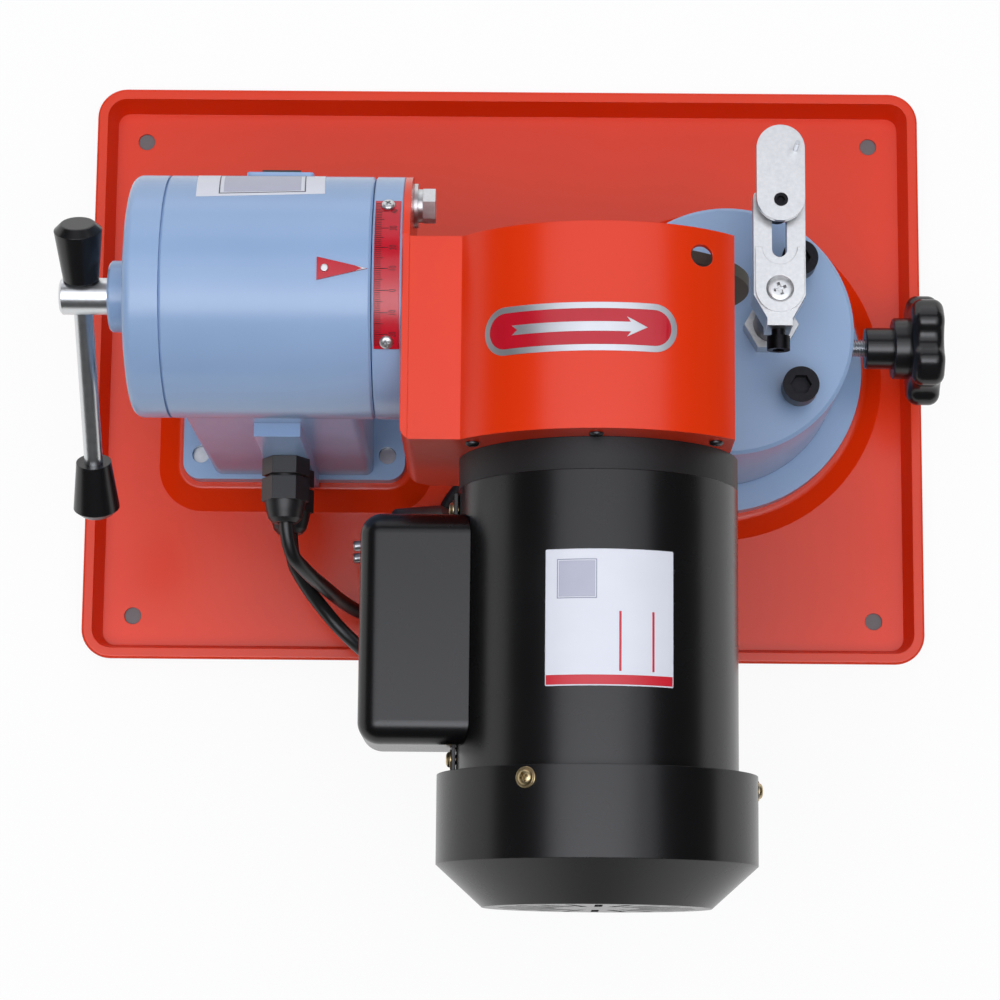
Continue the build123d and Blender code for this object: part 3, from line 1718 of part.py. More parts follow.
def make_cable_glands():
    """Two glands one over the other, each a threaded body and a domed nut."""
    pieces = []
    nut_start = pad_front - gland_lock - gland_neck
    dome_start = nut_start - gland_nut
    corner_radius = gland_flats / 2
    for z in gland_places():
        body = hexagon(gland_flats, (gland_x, pad_front, z), BACK_Y, gland_lock, ALONG_X)
        thread_length = gland_pad_proud + pedestal_wall + gland_inside
        body += rod(gland_thread_radius, (gland_x, pad_front, z), ALONG_Y, thread_length)
        body += rod(gland_neck_radius, (gland_x, pad_front - gland_lock, z), BACK_Y, gland_neck)
        nut = hexagon(gland_flats, (gland_x, nut_start, z), BACK_Y, gland_nut, ALONG_X)
        dome = turned(
            [
                (0, 0),
                (0, corner_radius),
                (gland_dome_low, gland_dome_low_radius),
                (gland_dome_high, (corner_radius + gland_dome_radius) / 2),
                (gland_dome, gland_dome_radius),
                (gland_dome, 0),
            ],
            (gland_x, dome_start, z),
            BACK_Y,
            ALONG_X,
        )
        nut += dome
        nut -= rod(cord_radius + cord_fit, (gland_x, gland_end, z), ALONG_Y, gland_cord_depth)
        pieces.append(body)
        pieces.append(nut)
    return Compound(pieces)


def cord_tube(name, points):
    """A tube along straight runs joined by arcs as large as the runs allow."""
    places = [Vector(p) for p in points]
    radii = []
    for before, here, after in zip(places, places[1:], places[2:]):
        turn = math.radians((here - before).get_angle(after - here))
        shorter = min((here - before).length, (after - here).length)
        radii.append(cord_run_share * shorter / math.tan(turn / 2))
    print(name, "bend radii", [round(r, 1) for r in radii])
    path = FilletPolyline(*places, radius=radii)
    section = Plane(origin=path @ 0, z_dir=path % 0) * Circle(cord_radius)
    tube = sweep(section, path=path)
    expected = math.pi * cord_radius**2 * path.length
    print(name, "length", round(path.length), "volume share", round(tube.volume / expected, 4))
    return tube


def make_mains_cord():
    """The free stretch of the mains cord, from the upper gland to the coil."""
    inside = (gland_x, gland_end + gland_cord_depth, gland_places()[1])
    first = coil_path()[0]
    start = first @ 0
    return cord_tube("mains cord", [inside] + mains_route + [start - (first % 0) * mains_run, start])


def make_motor_lead():
    """The lead from the lower gland to the capacitor box."""
    inside = (gland_x, gland_end + gland_cord_depth, gland_places()[0])
    return cord_tube("motor lead", [inside] + lead_route)


def coil_path():
    """The coil's edges: in along the floor, up a layer, and out again above."""
    turn = math.radians(coil_start_angle)
    here = Vector(coil_x + coil_radius * math.cos(turn), coil_y + coil_radius * math.sin(turn), coil_low)
    ahead = Vector(-math.sin(turn), math.cos(turn), 0)
    inward = Vector(-math.cos(turn), -math.sin(turn), 0)
    up = Vector(0, 0, 1)
    stub = 2 * cord_radius
    edges = [Line(here - ahead * stub, here)]
    radius = coil_radius
    for _ in range(coil_half_turns_in):
        end = here + inward * 2 * radius
        edges.append(ThreePointArc(here, here + (inward + ahead) * radius, end))
        here = end
        ahead = -ahead
        inward = -inward
        radius -= coil_pitch / 2
    reach = math.sqrt(radius**2 + coil_pitch**2 / 4)
    middle = here + inward * radius + ahead * reach + up * (coil_pitch / 2)
    end = here + inward * 2 * radius + up * coil_pitch
    slope = inward * (radius / reach) + up * (coil_pitch / 2 / reach)
    edges.append(TangentArc(here, middle, tangent=ahead))
    edges.append(TangentArc(middle, end, tangent=slope))
    here = end
    ahead = -ahead
    inward = -inward
    for _ in range(coil_half_turns_out):
        radius += coil_pitch / 2
        end = here + inward * 2 * radius
        edges.append(ThreePointArc(here, here + (inward + ahead) * radius, end))
        here = end
        ahead = -ahead
        inward = -inward
    edges.append(Line(here, here + ahead * stub))
    return edges


def coil_least_gap(path):
    """The least gap of the coil to itself, measured on points along its path."""
    count = 700
    places = [path @ (n / count) for n in range(count + 1)]
    step = path.length / count
    apart = int(6 * cord_radius / step)
    least = 1e9
    for n in range(count + 1):
        for m in range(n + apart, count + 1):
            least = min(least, (places[n] - places[m]).length)
    return least - 2 * cord_radius


def make_cord_coil():
    """The coiled length of the mains cord, one unbroken tube."""
    path = Wire(coil_path())
    print("cord coil length", round(path.length), "least gap", round(coil_least_gap(path), 2))
    section = Plane(origin=path @ 0, z_dir=path % 0) * Circle(cord_radius)
    return sweep(section, path=path)


def plug_out():
    """The direction that the plug's pins point."""
    turn = math.radians(plug_heading)
    level = math.sqrt(1 - plug_lift**2)
    return Vector(level * math.cos(turn), level * math.sin(turn), plug_lift)


def make_plug_cord():
    """The stretch from the coil up to the plug."""
    last = coil_path()[-1]
    end = last @ 1
    tail = Vector(plug_tail_x, plug_tail_y, plug_height)
    ahead = end + (last % 1) * plug_first_run
    return cord_tube("plug cord", [end, ahead] + plug_route + [tail - plug_out() * plug_run, tail])


def plug_plane():
    """The plug's own plane: its axis along the pins, one side along the pins' row."""
    out = plug_out()
    side = Vector(-out.Y, out.X, 0).normalized()
    up = out.cross(side)
    roll = math.radians(plug_roll)
    row = up * math.cos(roll) + side * math.sin(roll)
    return Plane(origin=(plug_tail_x, plug_tail_y, plug_height), z_dir=out, x_dir=row)


def make_plug_body():
    """The moulded plug: a tapering tail, a shoulder and a round front."""
    front = plug_tail + plug_body
    profile = [
        (0, 0),
        (0, plug_tail_radius),
        (plug_tail, plug_neck_radius),
        (plug_tail + plug_shoulder, plug_radius),
        (front, plug_radius),
        (front, 0),
    ]
    origin = (plug_tail_x, plug_tail_y, plug_height)
    body = turned(profile, origin, plug_out(), plug_plane().x_dir)
    rim = body.edges().sort_by(Axis(origin, plug_out()))[-1]
    return fillet(rim, plug_round)


def make_plug_pins():
    """The two round pins."""
    pins = []
    plane = plug_plane()
    for side in (-1, 1):
        start = plane.from_local_coords(Vector(side * pin_spacing / 2, 0, plug_tail + plug_body))
        pin = rod(pin_radius, start, plug_out(), pin_length)
        pins.append(fillet(pin.edges().sort_by(Axis(start, plug_out()))[-1], pin_radius / 2))
    return Compound(pins)


nodes = {
    "tray": make_tray(),
    "base_bolts": make_base_bolts(),
    "housing": make_housing(),
    "housing_cap": make_housing_cap(),
    "cap_screws": make_cap_screws(),
    "pointer": make_pointer(),
    "pointer_rivet": make_pointer_rivet(),
    "switch_bezel": make_switch_bezel(),
    "switch_rocker": make_switch_rocker(),
    "feed_screw": make_feed_screw(),
    "tommy_bar": make_tommy_bar(),
    "tommy_knobs": make_tommy_knobs(),
    "tilt_sleeve": make_tilt_sleeve(),
    "ram": make_ram(),
    "feed_nut": make_feed_nut(),
    "scale_ring": make_scale_ring(),
    "scale_plate": make_scale_plate(),
    "motor_bracket": make_motor_bracket(),
    "wheel_guard": make_wheel_guard(),
    "bracket_bolts": make_bracket_bolts(),
    "sheet_screws": make_sheet_screws(),
    "motor_screws": make_motor_screws(),
    "front_shield": make_front_shield(),
    "motor_shell": make_motor_shell(),
    "stator_core": make_stator_core(),
    "stator_windings": make_windings(),
    "rear_shield": make_rear_shield(),
    "fan_cover": make_fan_cover(),
    "zinc_screws": make_zinc_screws(),
    "motor_bearings": make_bearings(),
    "capacitor_cover": make_capacitor_cover(),
    "capacitor": make_capacitor(),
    "motor_shaft": make_motor_shaft(),
    "rotor_core": make_rotor_core(),
    "cooling_fan": make_cooling_fan(),
    "wheel_arbor": make_wheel_arbor(),
    "grinding_wheel": make_grinding_wheel(),
    "wheel_flange": make_wheel_flange(),
    "arbor_nut": make_arbor_nut(),
    "turntable_base": make_turntable_base(),
    "turntable_drum": make_drum(),
    "drum_screws": make_drum_screws(),
    "knob_screw": make_knob_screw(),
    "star_knob": make_star_knob(),
    "finger_post": make_finger_post(),
    "post_nut": make_post_nut(),
    "finger_arm": make_finger_arm(),
    "arm_clamp_screw": make_arm_clamp_screw(),
    "stop_plate": make_stop_plate(),
    "stop_plate_screw": make_stop_plate_screw(),
    "finger_plate": make_finger_plate(),
    "finger_stud": make_finger_stud(),
    "finger_pin": make_finger_pin(),
    "cable_glands": make_cable_glands(),
    "mains_cord": make_mains_cord(),
    "motor_lead": make_motor_lead(),
    "cord_coil": make_cord_coil(),
    "plug_cord": make_plug_cord(),
    "plug_body": make_plug_body(),
    "plug_pins": make_plug_pins(),
}

os.makedirs("parts", exist_ok=True)
for name, shape in nodes.items():
    export_step(shape, f"parts/{name}.step")
print(len(nodes), "pieces written")
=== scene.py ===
# %% [markdown]
# # A bench sharpener for circular saw blades
#
# The machine is a red pressed tray that carries a blue barrel housing at the left, a motor with a
# dish grinding wheel in the middle and a blue turntable with a tooth rest at the right. Its solids
# come ready from CAD and are loaded as a fixed frame. In this lesson they get their finishes, and
# the pieces that CAD draws plainly, such as cords, labels, screw heads and threads, are modelled.

# %% Load the solids
import math

import bmesh
import bpy
from mathutils import Matrix, Vector


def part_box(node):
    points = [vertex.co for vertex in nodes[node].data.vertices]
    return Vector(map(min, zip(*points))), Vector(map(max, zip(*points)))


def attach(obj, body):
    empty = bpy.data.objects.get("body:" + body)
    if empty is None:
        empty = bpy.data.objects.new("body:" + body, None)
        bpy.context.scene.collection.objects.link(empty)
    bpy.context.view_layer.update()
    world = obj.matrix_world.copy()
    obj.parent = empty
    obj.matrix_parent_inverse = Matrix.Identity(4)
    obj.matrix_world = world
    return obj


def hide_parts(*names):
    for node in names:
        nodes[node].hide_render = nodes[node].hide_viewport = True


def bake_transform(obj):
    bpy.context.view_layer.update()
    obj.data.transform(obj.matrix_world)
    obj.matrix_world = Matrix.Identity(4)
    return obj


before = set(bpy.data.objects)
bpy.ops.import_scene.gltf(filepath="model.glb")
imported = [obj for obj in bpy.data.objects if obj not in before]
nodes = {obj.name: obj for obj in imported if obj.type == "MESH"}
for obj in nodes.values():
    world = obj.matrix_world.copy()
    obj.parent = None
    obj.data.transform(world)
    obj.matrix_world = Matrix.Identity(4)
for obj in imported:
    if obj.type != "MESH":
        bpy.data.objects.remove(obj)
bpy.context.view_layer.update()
MM = 0.001
NEAR = 1e-6

# %% [markdown]
# The photograph was taken from high above the fan end of the motor with a long lens. The camera
# below was worked out from pieces of known size, so it only needs its place, two angles, a small
# roll and the lens. A long lens keeps the tray nearly rectangular, as it is in the photograph.

# %% Camera
CAMERA_PLACE = (8.4, -302.4, 1408.8)
CAMERA_TILT = 0.1712
CAMERA_PAN = -0.0073
CAMERA_ROLL = 0.0079
LENS_MM = 108.1
SENSOR_MM = 36

look = Vector(
    (
        math.sin(CAMERA_PAN) * math.cos(CAMERA_TILT),
        math.sin(CAMERA_TILT),
        -math.cos(CAMERA_TILT),
    )
)
look.normalize()
level = (Vector((1, 0, 0)) - look * look.x).normalized()
upright = level.cross(look)
right = level * math.cos(CAMERA_ROLL) + upright * math.sin(CAMERA_ROLL)
up = upright * math.cos(CAMERA_ROLL) - level * math.sin(CAMERA_ROLL)
turn = Matrix((right, up, -look)).transposed()
lens = bpy.data.cameras.new("photo_camera")
lens.lens = LENS_MM
lens.sensor_width = SENSOR_MM
photo_camera = bpy.data.objects.new("photo_camera", lens)
photo_camera.matrix_world = Matrix.Translation(Vector(CAMERA_PLACE) * MM) @ turn.to_4x4()
bpy.context.scene.collection.objects.link(photo_camera)
bpy.context.scene.camera = photo_camera
print("camera at", [round(c, 3) for c in photo_camera.location])

# %% [markdown]
# Finishes are built from shader nodes. One small function adds a node with its settings and its
# links, another turns the hex colour of a paint chart into Blender's linear colour, and a third
# gives the texture scale for a pattern of a real size in millimetres. The others make the parts
# that most finishes share: a noise, a colour that drifts, and a bump over rounded edges.

# %% Helpers for finishes
BEVEL_SAMPLES = 4


def linear(hex_colour):
    """Linear colour of an sRGB hex value."""
    channels = []
    for start in (1, 3, 5):
        value = int(hex_colour[start : start + 2], 16) / 255
        channels.append(value / 12.92 if value <= 0.04045 else ((value + 0.055) / 1.055) ** 2.4)
    return (*channels, 1.0)


def per_mm(size):
    """Texture scale that repeats a pattern about every size millimetres."""
    return 1000.0 / size


def feed(tree, node, inputs):
    """Sets inputs of a shader node. Each takes a value or another node's output."""
    for name, value in inputs.items():
        socket = node.inputs[name]
        if isinstance(value, bpy.types.NodeSocket):
            tree.links.new(value, socket)
        else:
            socket.default_value = value


def add(tree, kind, inputs=None, **settings):
    """Adds a shader node with its settings and inputs."""
    made = tree.nodes.new(kind)
    for name, value in settings.items():
        setattr(made, name, value)
    feed(tree, made, inputs or {})
    return made


def start_finish(name):
    """A new material: its tree, its surface shader and the object's own coordinates."""
    made = bpy.data.materials.new(name)
    made.use_nodes = True
    tree = made.node_tree
    shader = tree.nodes["Principled BSDF"]
    place = add(tree, "ShaderNodeTexCoord").outputs["Object"]
    return made, tree, shader, place


def clouds(tree, place, size, detail):
    """A noise with patches of about a size in millimetres."""
    noise = add(
        tree,
        "ShaderNodeTexNoise",
        {"Vector": place, "Scale": per_mm(size), "Detail": detail},
    )
    return noise.outputs["Fac"]


def between(tree, value, low, high, start=0.0, end=1.0):
    """Turns a value that goes from start to end into one that goes from low to high."""
    spread = add(
        tree,
        "ShaderNodeMapRange",
        {"Value": value, "From Min": start, "From Max": end, "To Min": low, "To Max": high},
    )
    return spread.outputs["Result"]


def two_tone(tree, share, dark, light):
    """A colour that drifts between two hex colours."""
    tint = add(
        tree,
        "ShaderNodeMix",
        {"Factor": share, "A": linear(dark), "B": linear(light)},
        data_type="RGBA",
    )
    return tint.outputs["Result"]


def soft_bump(tree, height, strength, depth, edge_radius):
    """A bump of a depth over edges rounded by a radius, both in millimetres."""
    edge = add(tree, "ShaderNodeBevel", {"Radius": edge_radius * MM}, samples=BEVEL_SAMPLES)
    wave = add(
        tree,
        "ShaderNodeBump",
        {
            "Height": height,
            "Strength": strength,
            "Distance": depth * MM,
            "Normal": edge.outputs["Normal"],
        },
    )
    return wave.outputs["Normal"]


def dress(finish, *names):
    """Gives a finish to CAD nodes."""
    for name in names:
        slots = nodes[name].data.materials
        slots.clear()
        slots.append(finish)


print("finish helpers ready")

# %% [markdown]
# ## Enamels
#
# The tray, the bracket and the guard are sheet steel, sprayed with a warm red enamel and baked. The
# castings wear a light steel-blue machine enamel, and the motor a thin black one that is so dark
# that only its reflections show its form. Sprayed paint is smooth and glossy, with the fine waviness
# that painters call orange peel, and it is a little thicker and darker where it ran together. A
# noise as wide as the waves drives a weak bump, a wide one shifts the colour, and a Bevel node rounds
# the sharp edges as the paint does.

# %% Enamels
ENAMEL_IOR = 1.46
ENAMEL_EDGE = 0.5
PEEL_DEPTH = 0.15
GLOSS_DRIFT = 0.03


def enamel(name, thick, thin, roughness, cloud_mm, peel_mm, peel_strength):
    """A sprayed paint: two close colours in clouds, a waviness and softened edges."""
    made, tree, shader, place = start_finish(name)
    cloud = clouds(tree, place, cloud_mm, 3.0)
    peel = clouds(tree, place, peel_mm, 2.0)
    gloss = between(tree, cloud, roughness - GLOSS_DRIFT, roughness + GLOSS_DRIFT)
    feed(
        tree,
        shader,
        {
            "Base Color": two_tone(tree, cloud, thick, thin),
            "Roughness": gloss,
            "Normal": soft_bump(tree, peel, peel_strength, PEEL_DEPTH, ENAMEL_EDGE),
            "IOR": ENAMEL_IOR,
        },
    )
    return made


red_enamel = enamel("red_stove_enamel", "#e43204", "#ec3908", 0.25, 60, 2.2, 0.06)
blue_enamel = enamel("blue_machine_enamel", "#91add1", "#9bb7da", 0.24, 40, 4.5, 0.1)
black_enamel = enamel("black_motor_enamel", "#0a0a0b", "#0d0d0e", 0.27, 25, 2.5, 0.05)
black_casting = enamel("black_painted_casting", "#101011", "#171718", 0.5, 8, 1.6, 0.3)
dress(red_enamel, "tray", "motor_bracket", "wheel_guard")
dress(blue_enamel, "housing", "housing_cap", "scale_ring", "turntable_base", "turntable_drum")
dress(black_enamel, "motor_shell", "rear_shield", "fan_cover", "capacitor_cover")
dress(black_casting, "front_shield")
print("enamels made: red, blue, black and a rougher black for the casting")

# %% [markdown]
# ## Metals
#
# The feed screw and its tommy bar are bright chrome. The tooth rest's arm and finger are bright
# zinc, with the cloudy crystals of a plating bath, and its post is blackened. Bolts, shaft and
# washers are plain machined steel, socket screws are black oxide, and the motor's own screws are
# yellow zinc. The guard's small screws are the same zinc as the scale's, painted dark as painted
# shade for their dim place on the guard's front edge. All of them are full metals and differ in
# colour, roughness and the size of their grain, which drives both and a weak bump.

# %% Metals
METAL_EDGE = 0.25
GRAIN_DEPTH = 0.1


def metal(name, dark, light, rough_low, rough_high, grain_mm, bump):
    """A full metal whose colour and roughness drift over a grain of a real size."""
    made, tree, shader, place = start_finish(name)
    grain = clouds(tree, place, grain_mm, 4.0)
    feed(
        tree,
        shader,
        {
            "Base Color": two_tone(tree, grain, dark, light),
            "Roughness": between(tree, grain, rough_low, rough_high),
            "Normal": soft_bump(tree, grain, bump, GRAIN_DEPTH, METAL_EDGE),
            "Metallic": 1.0,
        },
    )
    return made


chrome = metal("bright_chrome", "#ced1d3", "#e0e2e3", 0.26, 0.34, 3, 0.05)
white_zinc = metal("bright_zinc_plating", "#b9bbbc", "#d8d9d9", 0.3, 0.45, 1.6, 0.06)
machined_steel = metal("machined_steel", "#a9adb1", "#c6c9cc", 0.25, 0.36, 2.5, 0.05)
black_oxide = metal("black_oxide_steel", "#1b1b1d", "#2a2a2d", 0.34, 0.46, 1.5, 0.05)
# Painted shade: the same zinc as the scale's screws, painted dark for the guard's screws in the dim
# band under the guard's edge.
shaded_zinc = metal("zinc_plating_painted_dark", "#3c3d3f", "#515254", 0.34, 0.46, 1.6, 0.06)
yellow_zinc = metal("yellow_zinc_plating", "#a5916a", "#c9b68f", 0.25, 0.4, 2.0, 0.04)
core_steel = metal("stacked_core_sheets", "#5b5d60", "#77797c", 0.4, 0.55, 0.7, 0.1)
enamelled_copper = metal("enamelled_copper_wire", "#8d4a25", "#b0653a", 0.3, 0.45, 1.2, 0.2)
turned_bronze = metal("turned_bronze", "#9d7a3c", "#bd9a58", 0.28, 0.4, 1.5, 0.05)
drawn_aluminium = metal("drawn_aluminium", "#b4b7ba", "#cfd1d3", 0.3, 0.4, 3.0, 0.03)
silver_foil = metal("silver_label_foil", "#b9bcc1", "#cdd0d4", 0.36, 0.46, 12, 0.01)
dress(chrome, "feed_screw", "tommy_bar")
dress(white_zinc, "post_nut", "finger_arm", "stop_plate", "finger_plate")
dress(white_zinc, "stop_plate_screw", "pointer_rivet", "sheet_screws", "bracket_bolts")
dress(machined_steel, "base_bolts", "tilt_sleeve", "ram", "motor_shaft", "wheel_arbor")
dress(machined_steel, "wheel_flange", "arbor_nut", "motor_bearings", "knob_screw")
dress(machined_steel, "plug_pins", "finger_pin")
dress(black_oxide, "cap_screws", "motor_screws", "drum_screws", "arm_clamp_screw")
dress(black_oxide, "finger_post", "finger_stud")
dress(yellow_zinc, "zinc_screws")
dress(core_steel, "stator_core", "rotor_core")
dress(enamelled_copper, "stator_windings")
dress(turned_bronze, "feed_nut")
dress(drawn_aluminium, "capacitor")
print("metals made: chrome, zincs, steels, copper, bronze, aluminium and foil")

# %% [markdown]
# ## Plastics, rubber, printed plates and grit
#
# Knobs are moulded phenolic, hard and glossy. Glands, switch and fan are nylon with a fine moulded
# grain. The cord's jacket and the plug are soft black vinyl. The scale and the pointer are printed
# plates in crimson, and the labels are white or silver foil with flat ink. The wheel is bonded grit,
# which scatters light from every grain.

# %% Plastics, rubber, printed plates and grit
PLASTIC_IOR = 1.5
PLASTIC_EDGE = 0.4
MOULD_DEPTH = 0.15


def moulded(name, dark, light, roughness, grain_mm, bump):
    """A plastic, rubber, ink or bonded grit with a surface grain of a real size."""
    made, tree, shader, place = start_finish(name)
    grain = clouds(tree, place, grain_mm, 3.0)
    feed(
        tree,
        shader,
        {
            "Base Color": two_tone(tree, grain, dark, light),
            "Roughness": roughness,
            "Normal": soft_bump(tree, grain, bump, MOULD_DEPTH, PLASTIC_EDGE),
            "IOR": PLASTIC_IOR,
        },
    )
    return made


phenolic = moulded("black_phenolic", "#0e0e0f", "#151516", 0.26, 6, 0.04)
nylon = moulded("black_nylon", "#131314", "#1c1c1d", 0.4, 0.8, 0.1)
vinyl = moulded("black_vinyl_cord", "#101011", "#181819", 0.38, 1.2, 0.08)
crimson_print = moulded("crimson_printed_plate", "#b90f22", "#c8142b", 0.24, 12, 0.02)
bonded_grit = moulded("bonded_grit", "#3a372f", "#57534a", 0.85, 0.6, 0.5)
white_foil = moulded("white_label_foil", "#dfe2ea", "#e6e9f0", 0.35, 20, 0.01)
grey_ink = moulded("grey_label_ink", "#b4b6c6", "#bcbece", 0.4, 6, 0.01)
red_ink = moulded("red_label_ink", "#c9182b", "#d42032", 0.35, 10, 0.01)
dark_ink = moulded("dark_scale_ink", "#26060a", "#300a0f", 0.4, 3, 0.01)
grey_line = moulded("grey_frame_ink", "#8488a0", "#8e92aa", 0.4, 6, 0.01)
dark_line = moulded("dark_frame_ink", "#3b3c47", "#454652", 0.4, 6, 0.01)
dress(phenolic, "tommy_knobs", "star_knob")
dress(nylon, "switch_bezel", "switch_rocker", "cable_glands", "cooling_fan")
dress(vinyl, "mains_cord", "motor_lead", "cord_coil", "plug_cord", "plug_body")
dress(crimson_print, "scale_plate", "pointer")
dress(bonded_grit, "grinding_wheel")
print("undressed nodes:", [n for n, o in nodes.items() if len(o.data.materials) != 1])

# %% [markdown]
# ## Mains cord
#
# The cord leaves the upper gland, runs down past the lower one, and is coiled on the tray under the
# motor. It comes out of the coil in front, turns back over it, and its plug lies on the coil. It is
# one spline: the route's corners are control points, so the line rounds them as a limp cord does.
# Each turn of the coil has twelve control points. A quadratic spline lies inside its control points
# by the cosine of half a step, so they are set that much further out than the cord itself.

# %% Mains cord
CORD_RADIUS = 3.25
CORD_ROUNDNESS = 5
LINE_ORDER = 3
LINE_STEPS = 8
COIL_X = 6.0
COIL_Y = -84.0
COIL_RADIUS = 40.7
COIL_START = -100.0
COIL_LOW = 5.1
COIL_PITCH = 7.1
COIL_STEP = 30
COIL_CLIMB = 5
mains_points = [
    (-97.0, -71.5, 89.5),
    (-97.0, -96.5, 89.5),
    (-87.0, -106.2, 73.0),
    (-80.3, -109.6, 52.0),
    (-74.2, -113.0, 33.0),
    (-66.0, -116.2, 17.0),
    (-52.0, -118.9, 7.6),
    (-25.98, -119.69, 5.1),
]
plug_points = [
    (23.3, -121.2, 12.2),
    (45.5, -127.9, 10.4),
    (61.6, -120.6, 11.2),
    (68.6, -104.6, 14.6),
    (63.6, -87.8, 19.6),
    (49.0, -78.0, 24.8),
    (31.9, -79.8, 30.1),
    (16.0, -81.5, 31.2),
]


def coil_points():
    """Control points of the coil: half turns in on the floor, one up, and half turns out above."""
    points = []
    out = Vector((math.cos(math.radians(COIL_START)), math.sin(math.radians(COIL_START))))
    reach = math.cos(math.radians(COIL_STEP / 2))
    steps = 180 // COIL_STEP
    for n in range(2 * COIL_CLIMB):
        radius = COIL_RADIUS - min(n, 2 * COIL_CLIMB - n) * COIL_PITCH / 2
        side = 1 if n % 2 else 2 * (n > COIL_CLIMB)
        centre = Vector((COIL_X, COIL_Y)) - out * side * COIL_PITCH / 2
        for step in range(steps):
            angle = math.radians(COIL_START + 180 * n + COIL_STEP * (step + 0.5))
            climb = max(0, min(1, n - COIL_CLIMB + (step + 0.5) / steps))
            x = centre.x + radius / reach * math.cos(angle)
            y = centre.y + radius / reach * math.sin(angle)
            points.append((x, y, COIL_LOW + COIL_PITCH * climb))
    return points


def spline(name, points):
    """A smooth line with these control points, in millimetres."""
    curve = bpy.data.curves.new(name, "CURVE")
    curve.dimensions = "3D"
    line = curve.splines.new("NURBS")
    line.points.add(len(points) - 1)
    for knot, point in zip(line.points, points):
        knot.co = (*(Vector(point) * MM), 1.0)
    line.order_u = LINE_ORDER
    line.use_endpoint_u = True
    line.resolution_u = LINE_STEPS
    curve.resolution_u = LINE_STEPS
    made = bpy.data.objects.new(name, curve)
    bpy.context.scene.collection.objects.link(made)
    return made


def line_length(places):
    """Length along a row of places."""
    return sum((b - a).length for a, b in zip(places, places[1:]))


def line_places(curve_object):
    """The places that a curve with no bevel passes, in order."""
    mesh = bpy.data.meshes.new_from_object(curve_object)
    places = [v.co.copy() for v in mesh.vertices]
    bpy.data.meshes.remove(mesh)
    return places


def round_off(curve_object):
    """Gives a line the thickness of the cord and closes its ends."""
    curve_object.data.bevel_depth = CORD_RADIUS * MM
    curve_object.data.bevel_resolution = CORD_ROUNDNESS
    curve_object.data.use_fill_caps = True


mains = spline("mains_lead", mains_points + coil_points() + plug_points)
mains_length = line_length(line_places(mains))
round_off(mains)
print("mains lead", round(mains_length, 3), "m")

# %% [markdown]
# ## Motor lead
#
# A second cord goes from the lower gland round in a low loop and up into the capacitor box. It has to
# bend when the head tilts. Here it is a tube: a bevelled curve that is turned into a mesh.

# %% Motor lead
lead_points = [
    (-97.0, -71.5, 59.5),
    (-97.0, -95.5, 59.5),
    (-90.6, -107.0, 49.5),
    (-83.7, -115.8, 42.0),
    (-75.5, -125.3, 38.5),
    (-66.0, -134.5, 40.0),
    (-56.0, -143.5, 47.5),
    (-46.5, -150.5, 61.0),
    (-38.5, -155.0, 80.0),
    (-33.8, -157.2, 105.0),
    (-32.2, -158.0, 137.0),
    (-32.0, -158.2, 166.0),
]
lead_line = spline("lead_line", lead_points)
lead_path = line_places(lead_line)
round_off(lead_line)
lead_mesh = bpy.data.meshes.new_from_object(lead_line)
lead = bpy.data.objects.new("motor_lead_tube", lead_mesh)
bpy.context.scene.collection.objects.link(lead)
bpy.data.objects.remove(lead_line)

for piece in (mains, lead):
    piece.data.materials.append(vinyl)
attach(mains, "base")
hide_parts("mains_cord", "cord_coil", "plug_cord")
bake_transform(lead)
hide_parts("motor_lead")

# %% [markdown]
# ## Modelling by hand
#
# The small pieces are modelled as one would by hand: a primitive is added, and in edit mode its faces
# are resized, inset, cut and extruded. A few helpers keep that short. One starts edit mode on the
# primitive just added, one selects points, edges or faces by a test of their place, and one closes
# the piece: edges shaded by their angle, a finish, and the body that it moves with.

# %% Modelling helpers
MERGE_MM = 0.001


def begin(name):
    """Names the primitive just added and enters edit mode with all of it selected."""
    piece = bpy.context.active_object
    piece.name = name
    bpy.ops.object.mode_set(mode="EDIT")
    bpy.ops.mesh.select_mode(type="VERT")
    bpy.ops.mesh.select_all(action="SELECT")
    return piece


def pick(piece, kind, test):
    """Selects the points, edges or faces of the piece being edited that pass a test."""
    bpy.ops.mesh.select_mode(type=kind)
    bpy.ops.mesh.select_all(action="DESELECT")
    shape = bmesh.from_edit_mesh(piece.data)
    rows = {"VERT": shape.verts, "EDGE": shape.edges, "FACE": shape.faces}
    for item in rows[kind]:
        if test(item):
            item.select_set(True)
    bmesh.update_edit_mesh(piece.data)


def shift(x, y, z):
    """Moves what is selected, in millimetres."""
    bpy.ops.transform.translate(value=(x * MM, y * MM, z * MM))


def face_outwards():
    """Turns all faces of the piece being edited outwards."""
    bpy.ops.mesh.select_all(action="SELECT")
    bpy.ops.mesh.normals_make_consistent(inside=False)


def weld():
    """Joins points of the piece being edited that lie on each other, and turns its faces outwards."""
    bpy.ops.mesh.select_all(action="SELECT")
    bpy.ops.mesh.remove_doubles(threshold=MERGE_MM * MM)
    face_outwards()


def thicken(height, lift=0.0):
    """Lifts all of a flat piece, gives it a height, and turns its faces outwards."""
    bpy.ops.mesh.select_mode(type="FACE")
    bpy.ops.mesh.select_all(action="SELECT")
    shift(0, 0, lift)
    bpy.ops.mesh.extrude_region_move(TRANSFORM_OT_translate={"value": (0, 0, height * MM)})
    face_outwards()


def only(piece):
    """Leaves edit mode and selects this piece alone."""
    if bpy.context.mode != "OBJECT":
        bpy.ops.object.mode_set(mode="OBJECT")
    bpy.ops.object.select_all(action="DESELECT")
    piece.select_set(True)
    bpy.context.view_layer.objects.active = piece


def join(pieces):
    """Joins pieces into the first one."""
    only(pieces[0])
    for piece in pieces:
        piece.select_set(True)
    bpy.ops.object.join()
    return bpy.context.active_object


def settle():
    """Writes the place, turn and scale of the selected pieces into their points."""
    bpy.ops.object.transform_apply(location=True, rotation=True, scale=True)


